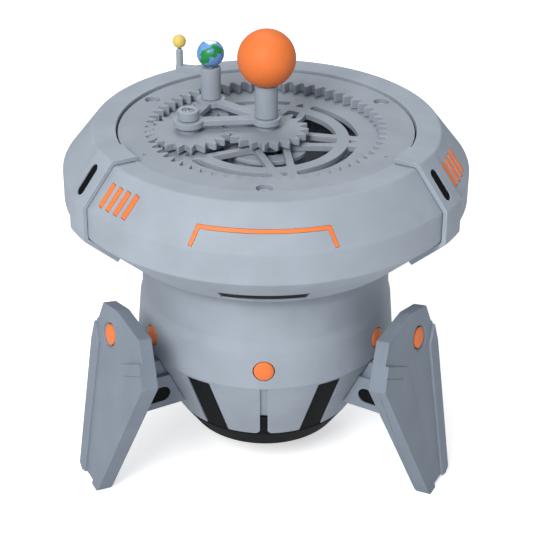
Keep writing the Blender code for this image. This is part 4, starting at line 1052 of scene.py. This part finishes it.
# outlines as (across, down) from the plug's centre, with a rounding for each corner
LEG_OUTLINE = [(-8.4, -10.2), (3.6, -12.4), (23.9, -10.0), (29.0, -2.2), (34.2, 6.1),
               (7.5, 66.2), (6.2, 68.0), (5.0, 69.5), (-0.1, 69.5), (-0.4, 67.1),
               (-5.6, 66.6), (-8.8, 67.2), (-11.7, 65.4), (-13.6, 7.9), (-12.2, -1.2),
               (-10.8, -2.6)]
LEG_ROUND = [1.2, 1.2, 1.0, 0.8, 1.0, 0.8, 0.8, 0, 0, 0.5, 0.5, 0.6, 0.8, 1.0, 0.5, 0.8]
RIB_OUTLINE = [(-12.2, -0.7), (-6.8, 6.6), (-5.9, 66.6), (-8.8, 67.2), (-11.7, 65.4),
               (-13.6, 7.9)]
RIB_ROUND = [0.3, 1.2, 0.4, 0.5, 0.8, 1.0]
PANEL_OUTLINE = [(12.0, 6.6), (28.85, -2.38), (34.2, 6.1), (7.5, 66.2), (6.2, 68.0),
                 (5.0, 69.5), (-0.1, 69.5)]
PANEL_ROUND = [0.4, 0.2, 1.0, 0.8, 0.8, 0, 0]
PANEL_LOW, PANEL_RISE = 0.3, 1.3                          # heights of its sloping face
LEG_WELL = [(0, -3.0), (4.5, -3.0), (4.5, -0.95), (4.62, -0.8), (5.05, -0.75), (5.15, -0.6),
            (5.15, -0.3), (5.5, 0.05), (5.5, 3.4), (0, 3.4)]                # (r, z)


def leg_frame(azimuth):
    """X runs round the axis, Y up the leg and Z out of its face."""
    outward, around = directions(azimuth)
    up = Vector((0, 0, 1))
    down_leg = outward * sin(LEG_LEAN) - up * cos(LEG_LEAN)
    facing = outward * cos(LEG_LEAN) + up * sin(LEG_LEAN)
    return frame_of(around, -down_leg, facing, polar(LEG_R, azimuth, LEG_Z))


def leg_loop(outline, radii, hand):
    return fillet_line([(hand * across, -down) for across, down in outline], radii, True, 4)


def cut_flat(work, point, normal):
    """Remove what lies beyond a plane and close the cut."""
    bmesh.ops.bisect_plane(work, geom=work.verts[:] + work.edges[:] + work.faces[:],
                           dist=1e-7, plane_co=point, plane_no=normal, clear_outer=True)
    bmesh.ops.holes_fill(work, edges=[e for e in work.edges if e.is_boundary], sides=0)
    face_outward(work)


def leg_mesh(hand, place):
    """Blade with a rib along one side and a sloping panel, cut level with the floor."""
    blade = prism([leg_loop(LEG_OUTLINE, LEG_ROUND, hand)], -LEG_T, 0.0, 0.4, 0.4, place)
    rib = prism([leg_loop(RIB_OUTLINE, RIB_ROUND, hand)], -1.5, 1.0, 0.4, place=place)
    panel = prism([leg_loop(PANEL_OUTLINE, PANEL_ROUND, hand)], -1.5, 4.0, place=place)
    near_top = Vector((hand * 12.0, -6.6, PANEL_LOW)) * MM
    foot = Vector((hand * -0.1, -69.5, PANEL_LOW)) * MM
    shoulder = Vector((hand * 29.0, 2.2, PANEL_RISE)) * MM
    normal = (foot - near_top).cross(shoulder - near_top)
    normal.normalize()
    if normal.z < 0:
        normal = -normal
    with editing(panel) as work:
        cut_flat(work, place @ near_top, place.to_3x3() @ normal)
    panel = bevelled(panel, 0.28, 3, 40.0, 'MITER_SHARP')
    leg = carve(blade, [rib, panel], 'UNION')
    with editing(leg) as work:
        bmesh.ops.remove_doubles(work, verts=work.verts, dist=1e-6)
        cut_flat(work, (0, 0, 0), (0, 0, -1))
        bmesh.ops.dissolve_limit(work, angle_limit=radians(0.5), verts=work.verts,
                                 edges=work.edges)
    return leg


def engraved_line(hand, place):
    """Fine line across the upper part of the panel."""
    start = Vector((hand * 17.2, -9.0, 0.36)) * MM
    end = Vector((hand * 32.6, -0.9, 1.3)) * MM
    along = (end - start).normalized()
    out = (Vector((0, 0, 1)) - along * along.z).normalized()
    line_frame = frame_of(along, out.cross(along), out, (start + end) / 2)
    return block(((end - start).length / MM, 0.38, 2.0), place @ line_frame @ shift(z=1.0))


def make_legs():
    for side, azimuth in LEG_AZ.items():
        place = leg_frame(azimuth)
        hand = LEG_HAND[side]
        well = lathe(LEG_WELL, 64, closed=False, place=place)
        leg = carve(leg_mesh(hand, place), [well, engraved_line(hand, place)])
        piece("leg_" + side, leg, GREY_LEG_SHADED, crease=24.0)
        piece("leg_plug_" + side, plug([(0, 0.3), (2.6, 0.15), (4.15, -0.3)], place), ORANGE)


# ------------------------------------------------------------------ leg brackets
BRACKET_HALF, BAR_HALF = 8.2, 6.4
BRACKET_TOP, BRACKET_BOTTOM, BAR_TOP = -94.0, -108.3, -87.4
BRACKET_ROOT_R, BAR_ROOT_R = 36.0, 40.0
EYE_R, EYE_Z = 54.6, -102.2
LEG_BACK = LEG_T + 0.35                                   # from the leg's face to the bracket


def leg_back_r(z):
    """Radius just inside the leg's back face."""
    return (LEG_R - LEG_BACK * cos(LEG_LEAN)
            + ((LEG_Z - z) - LEG_BACK * sin(LEG_LEAN)) * tan(LEG_LEAN))


def eye_loop(length, width):
    """Round-ended opening, long in the radial direction."""
    return [(along + EYE_R, up + EYE_Z) for up, along in
            [(x, y) for x, y in stadium(length, width, 12)]]


def bracket_eye(length, width):
    """The opening, with the stadium's long axis laid along the radius."""
    return [(y + EYE_R, x + EYE_Z) for x, y in stadium(length, width, 12)]


def make_leg_brackets():
    body_clear = [(BAND_R + 0.3, -80.0), (BAND_R + 0.32, BAND_BOTTOM),
                  offset_line(LOWER_CONE, 0.35)[1]]
    for side, azimuth in LEG_AZ.items():
        outward = directions(azimuth)[0]
        up = Vector((0, 0, 1))
        place = frame_of(outward, up, outward.cross(up), spot(0, 0, 0))
        low = prism([[(BRACKET_ROOT_R, BRACKET_BOTTOM), (leg_back_r(BRACKET_BOTTOM), BRACKET_BOTTOM),
                      (leg_back_r(BRACKET_TOP), BRACKET_TOP), (BRACKET_ROOT_R, BRACKET_TOP)]],
                    -BRACKET_HALF, BRACKET_HALF, place=place)
        foot = BRACKET_TOP - 2.0
        bar = prism([[(BAR_ROOT_R, foot), (leg_back_r(foot) - 0.05, foot),
                      (leg_back_r(BAR_TOP) - 0.05, BAR_TOP), (BAR_ROOT_R, BAR_TOP)]],
                    -BAR_HALF, BAR_HALF, place=place)
        bracket = carve(low, [bar], 'UNION')
        clear = lathe([(0, -80.0)] + body_clear + [(0, body_clear[-1][1])], 240, closed=False)
        eye = prism([bracket_eye(13.0, 6.6)], -BRACKET_HALF - 2, BRACKET_HALF + 2, place=place)
        bracket = bevelled(carve(bracket, [clear, eye]), 0.3, angle=40.0)
        piece("leg_bracket_" + side, bracket, GREY_LEG_SHADED)
        # painted shade: a black filling stands for the dark inside of the opening, a little below
        # both faces
        painted_shade_filling = prism([bracket_eye(12.8, 6.4)], -BRACKET_HALF + 0.4, BRACKET_HALF - 0.4,
                        0.2, 0.2, place)
        piece(None, painted_shade_filling, BLACK, name="eye_painted_shade_" + side)


# ------------------------------------------------------------------ sun, planet, Earth and Moon
HUBS = [(0.0, 0.0, 5.65, 3.5), (*PLANET, 5.9, 1.6), (*EARTH, 5.6, 3.3)]     # x, y, r, bore
CARRIER_ARM_W = 4.2
SLEEVE_TOP = 17.6
MOON_ARM_TOP, MOON_ARM_HALF = SLEEVE_TOP - 0.5, 1.6


def ball_profile(radius, z, steps, cut_z=None, bore=None):
    """Half circle from the top pole down, cut flat at cut_z; bore is (radius, top)."""
    low = -pi / 2 if cut_z is None else -acos(sqrt(1 - ((cut_z - z) / radius) ** 2))
    points = [(0.0, z + radius)]
    for i in range(1, steps + 1):
        angle = pi / 2 + (low - pi / 2) * i / steps
        points.append((radius * cos(angle), z + radius * sin(angle)))
    if cut_z is None:
        points[-1] = (0.0, z - radius)
    elif bore:
        points += [(bore[0], points[-1][1]), bore, (0.0, bore[1])]
    else:
        points.append((0.0, points[-1][1]))
    return points


def make_sun():
    ball = ball_profile(SUN_R, SUN_Z, 64, cut_z=foot_of("sun_ball"))
    piece("sun_ball", lathe(ball, 128, closed=False), BALL, "sun_drive")
    top = top_of("sun_post")
    post = turned([(0, top), (4.46, top), (4.46, COLLAR_Z), (3.4, COLLAR_Z),
                   (3.4, CARRIER_Z0), (2.4, CARRIER_Z0), (2.4, -14.0), (0, -14.0)],
                  [0, 0.45, 0.2, 0, 0, 0, 0.2, 0], 5, 96)
    piece("sun_post", post, GREY, "sun_drive")


def make_carrier():
    """Three hubs joined by three arms."""
    solids = []
    for x, y, radius, _ in HUBS:
        solids.append(turned([(0, CARRIER_Z0), (radius, CARRIER_Z0), (radius, CARRIER_Z1),
                              (0, CARRIER_Z1)], [0, 0.3, 0.3, 0], 4, 80, at=(x, y)))
    half = CARRIER_ARM_W / 2
    for i in range(3):
        x, y, radius, _ = HUBS[i]
        next_x, next_y, next_radius, _ = HUBS[(i + 1) % 3]
        place = Matrix.Translation(spot(x, y, 0)) @ turn_z(atan2(next_y - y, next_x - x))
        start = radius - 1.4
        end = hypot(next_x - x, next_y - y) - next_radius + 1.4
        solids.append(prism([[(start, -half), (end, -half), (end, half), (start, half)]],
                            CARRIER_Z0 + 0.1, CARRIER_Z1 - 0.1, 0.25, 0.25, place))
    carrier = carve(solids[0], solids[1:], 'UNION')
    bores = [cylinder(bore, CARRIER_Z0 - 1, CARRIER_Z1 + 1, 48, at=(x, y))
             for x, y, _, bore in HUBS]
    piece("carrier", carve(carrier, bores), GREY, "carrier")


def make_planet():
    foot = CARRIER_Z0 - 0.3
    axle = lathe([(2.5, foot), (2.5, -3.2), (1.6, -3.2), (1.6, foot)], 48, at=PLANET)
    piece("planet_axle", axle, STEEL, "carrier")
    top = top_of("planet_cap")
    cap = turned([(2.45, top), (4.15, top), (4.15, COLLAR_Z), (1.6, COLLAR_Z), (1.6, 6.6),
                  (2.45, 6.6)], [0.15, 0.45, 0.2, 0, 0, 0], 4, 96, closed=True, at=PLANET)
    piece("planet_cap", cap, GREY, "carrier")
    screw = turned([(0, 8.3), (2.3, 8.3), (2.3, 6.9), (1.45, 6.9), (1.45, -3.4), (0, -3.4)],
                   [0, 0.3, 0, 0, 0.2, 0], 4, 64, at=PLANET)
    star = []                                             # six-lobed recess
    for i in range(36):
        angle = 2 * pi * i / 36
        radius = 1.2 + 0.14 * cos(6 * angle)
        star.append((PLANET[0] + radius * cos(angle), PLANET[1] + radius * sin(angle)))
    piece("planet_screw", carve(screw, [prism([star], 7.4, 9.5)]), STEEL, "carrier")


def make_moon():
    """Sleeve round the Earth's spindle, arm, post and ball."""
    sleeve = turned([(1.6, SLEEVE_TOP), (3.95, SLEEVE_TOP), (3.95, COLLAR_Z), (3.2, COLLAR_Z),
                     (3.2, CARRIER_Z0), (1.6, CARRIER_Z0)],
                    [0.15, 0.4, 0.2, 0, 0, 0], 4, 96, closed=True, at=EARTH)
    reach_x, reach_y = MOON[0] - EARTH[0], MOON[1] - EARTH[1]
    length = hypot(reach_x, reach_y)
    half = MOON_ARM_HALF
    loop = [(2.4, -half)]
    for i in range(15):
        angle = pi * i / 14
        loop.append((length + half * sin(angle), -half * cos(angle)))
    loop.append((2.4, half))
    place = Matrix.Translation(spot(*EARTH, 0)) @ turn_z(atan2(reach_y, reach_x))
    arm = prism([loop], MOON_ARM_TOP - 2.6, MOON_ARM_TOP, 0.3, 0.3, place)
    foot, ball_foot = MOON_ARM_TOP - 1.5, MOON_Z - MOON_R
    post = turned([(0, foot), (1.35, foot), (1.35, ball_foot - 1.1), (0.85, ball_foot - 0.7),
                   (0.85, ball_foot - 0.3), (0, ball_foot - 0.3)],
                  [0, 0, 0.2, 0.1, 0.1, 0], 3, 48, at=MOON)
    piece("moon_arm", carve(sleeve, [arm, post], 'UNION'), GREY, "moon")
    ball = lathe(ball_profile(MOON_R, MOON_Z, 32), 64, closed=False, at=MOON)
    piece("moon_ball", ball, YELLOW, "moon")


def make_earth():
    ball = ball_profile(EARTH_R, EARTH_Z, 48, cut_z=EARTH_Z - 5.05, bore=(1.75, EARTH_Z - 2.9))
    piece("earth_ball", lathe(ball, 96, closed=False, at=EARTH), GLOBE, "carrier")
    top = top_of("earth_spindle")
    spindle = turned([(0, top), (1.5, top), (1.5, -3.3), (0, -3.3)], [0, 0.2, 0.1, 0], 3, 48,
                     at=EARTH)
    piece("earth_spindle", spindle, STEEL, "carrier")


# ------------------------------------------------------------------ drive and power
BOX_L, BOX_W, BOX_H, BOX_Z = 58.0, 32.5, 16.0, -100.0
BOX_WALL = 1.5


def make_drive():
    bearing = turned([(2.5, -3.1), (5.4, -3.1), (5.4, -3.7), (3.9, -3.7), (3.9, -6.9),
                      (2.5, -6.9)], [0.1, 0.15, 0.1, 0, 0.2, 0.1], 3, 72, closed=True)
    piece("sun_bearing", bearing, BLACK)
    coupler = turned([(2.6, -9.6), (4.6, -9.6), (4.6, -20.4), (2.1, -20.4), (2.1, -14.6),
                      (2.6, -14.6)], [0.1, 0.3, 0.3, 0.1, 0, 0], 3, 72, closed=True)
    piece("shaft_coupler", coupler, STEEL, "sun_drive")
    shaft = turned([(0, -14.9), (2.0, -14.9), (2.0, -24.0), (0, -24.0)], [0, 0.25, 0, 0], 3, 48)
    piece("motor_shaft", shaft, STEEL, "sun_drive")
    mount = turned([(11.0, -6.8), (17.0, -6.8), (17.0, -8.6), (15.0, -8.6), (15.0, -23.4),
                    (5.4, -23.4), (5.4, -21.4), (13.0, -21.4), (13.0, -8.6), (11.0, -8.6)],
                   0.3, 3, 96, closed=True)
    piece("motor_mount", mount, GREY)
    motor = turned([(0, -26.5), (2.15, -26.5), (2.15, -23.9), (12.4, -23.9), (12.4, -48.2),
                    (11.4, -48.2), (11.4, -72.0), (0, -72.0)],
                   [0, 0, 0, 0.6, 0.4, 0.2, 0.6, 0], 4, 96)
    piece("gear_motor", motor, MOTOR)


def make_power():
    outside = fillet_line(rectangle(BOX_L / 2, BOX_W / 2), 1.2, True, 5)
    inside = fillet_line(rectangle((BOX_L - 2 * BOX_WALL) / 2, (BOX_W - 2 * BOX_WALL) / 2),
                         0.6, True, 5)
    hollow = prism([inside], BOX_Z + BOX_WALL, BOX_Z + BOX_H + 1.5)
    tray = carve(prism([outside], BOX_Z, BOX_Z + BOX_H, 0.25, 0.25), [hollow])
    pedestal = cylinder(12.0, CORE_END_Z + 2.7, BOX_Z + 0.7, 72, at=(0, 6.0))
    piece("battery_box", carve(tray, [pedestal], 'UNION'), BLACK)
    for name, side in (("battery_front", -1), ("battery_back", 1)):
        place = (Matrix.Translation(spot(2.0 * side, 7.3 * side, BOX_Z + 9.0))
                 @ Matrix.Rotation(-side * pi / 2, 4, 'Y'))
        cell = turned([(0, 27.0), (2.6, 27.0), (2.6, 25.5), (7.0, 25.5), (7.0, -23.0),
                       (0, -23.0)], [0, 0.2, 0.1, 0.5, 0.5, 0], 4, 56, place=place)
        piece(name, cell, CELL)


def make_switch():
    """Sliding knob with a flange inside the core and three grooves underneath."""
    def part(size, x, z):
        centre = spot(-SWITCH_TRAVEL / 2 + x, SWITCH_Y, CORE_END_Z + z)
        return block(size, Matrix.Translation(centre))

    knob = carve(part((5.0, 4.0, 5.4), 0.0, 1.1), [part((12.4, 6.6, 1.6), 0.0, 3.55)], 'UNION')
    grooves = [part((0.5, 6.0, 1.0), x, -1.6) for x in (-1.2, 0.0, 1.2)]
    knob = bevelled(carve(knob, [joined(grooves)]), 0.2)
    piece("power_switch", knob, ORANGE, "switch")


make_housing()
make_clamp_bands()
make_plate()
make_gears()
make_grille()
make_body()
make_core()
make_legs()
make_leg_brackets()
make_sun()
make_carrier()
make_planet()
make_moon()
make_earth()
make_drive()
make_power()
make_switch()

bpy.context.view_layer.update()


# ------------------------------------------------------------------ stage, light and camera
def floor_material():
    material, tree = new_material("floor_look")
    # the pale table glows a little for the camera only, so that it doesn't light the legs
    camera_ray = add_node(tree, "LightPath").outputs["Is Camera Ray"]
    fill(tree, tree.nodes["Principled BSDF"], {
        "Base Color": mix(tree, noise(tree, Scale=3.0),
                          (0.93, 0.93, 0.935, 1), (0.95, 0.95, 0.95, 1)),
        "Roughness": 0.9,
        "Specular IOR Level": 0.1,
        "Emission Color": (1.0, 1.0, 1.0, 1),
        "Emission Strength": multiply(tree, camera_ray, 0.55)})
    return material


def make_floor():
    half, z = 3, -0.0002                                  # metres
    corners = [(x, y, z) for x, y in rectangle(half, half)]
    floor = link_object("floor", build_mesh(corners, [(0, 1, 2, 3)], merge=True))
    floor.data.materials.append(floor_material())


def aim(obj, location, direction):
    """Place an object and point its -Z along a direction."""
    obj.location = location
    obj.rotation_mode = 'QUATERNION'
    obj.rotation_quaternion = direction.to_track_quat('-Z', 'Y')


def disk_light(name, location, target, size, power):
    """Area light; places and size in metres, power in watts."""
    light = bpy.data.lights.new(name, 'AREA')
    light.shape = 'DISK'
    light.size = size
    light.energy = power
    aim(link_object(name, light), location, Vector(target) - Vector(location))


def make_lights():
    disk_light("key", (-0.42, -1.05, 0.98), target=(0, 0, 0.08), size=0.6, power=15.6)
    disk_light("fill", (1.3, -0.5, 0.6), target=(0, 0, 0.08), size=1.0, power=0.4)
    disk_light("back", (-0.1, 0.7, 1.5), target=(0, 0, 0.1), size=1.0, power=7.6)
    world = bpy.data.worlds.new("studio")
    bpy.context.scene.world = world
    world.use_nodes = True
    background = world.node_tree.nodes["Background"]
    background.inputs["Color"].default_value = (0.9, 0.95, 1.0, 1)
    background.inputs["Strength"].default_value = 0.33
    bpy.context.scene.view_settings.view_transform = 'Standard'


# the camera looks from slightly above the front at a point near the axis
VIEW_YAW, VIEW_RISE, VIEW_ROLL = radians(0.48), radians(29.04), radians(0.33)
VIEW_DISTANCE = 0.64465                                   # metres
TARGET_SIDE, TARGET_Z = 0.394, -61.64


def make_camera():
    data = bpy.data.cameras.new("camera")
    camera = link_object("camera", data)
    target = Vector((TARGET_SIDE * cos(VIEW_YAW) * MM, TARGET_SIDE * sin(VIEW_YAW) * MM,
                     (PLATE_Z + TARGET_Z) * MM))
    toward_camera = Vector((sin(VIEW_YAW) * cos(VIEW_RISE), -cos(VIEW_YAW) * cos(VIEW_RISE),
                            sin(VIEW_RISE)))
    aim(camera, target + toward_camera * VIEW_DISTANCE, -toward_camera)
    camera.rotation_quaternion = camera.rotation_quaternion @ turn_z(VIEW_ROLL).to_quaternion()
    data.sensor_width = 36.0
    data.lens = 107.338086
    data.clip_start, data.clip_end = 0.01, 20.0
    bpy.context.scene.camera = camera


make_floor()
make_lights()
make_camera()
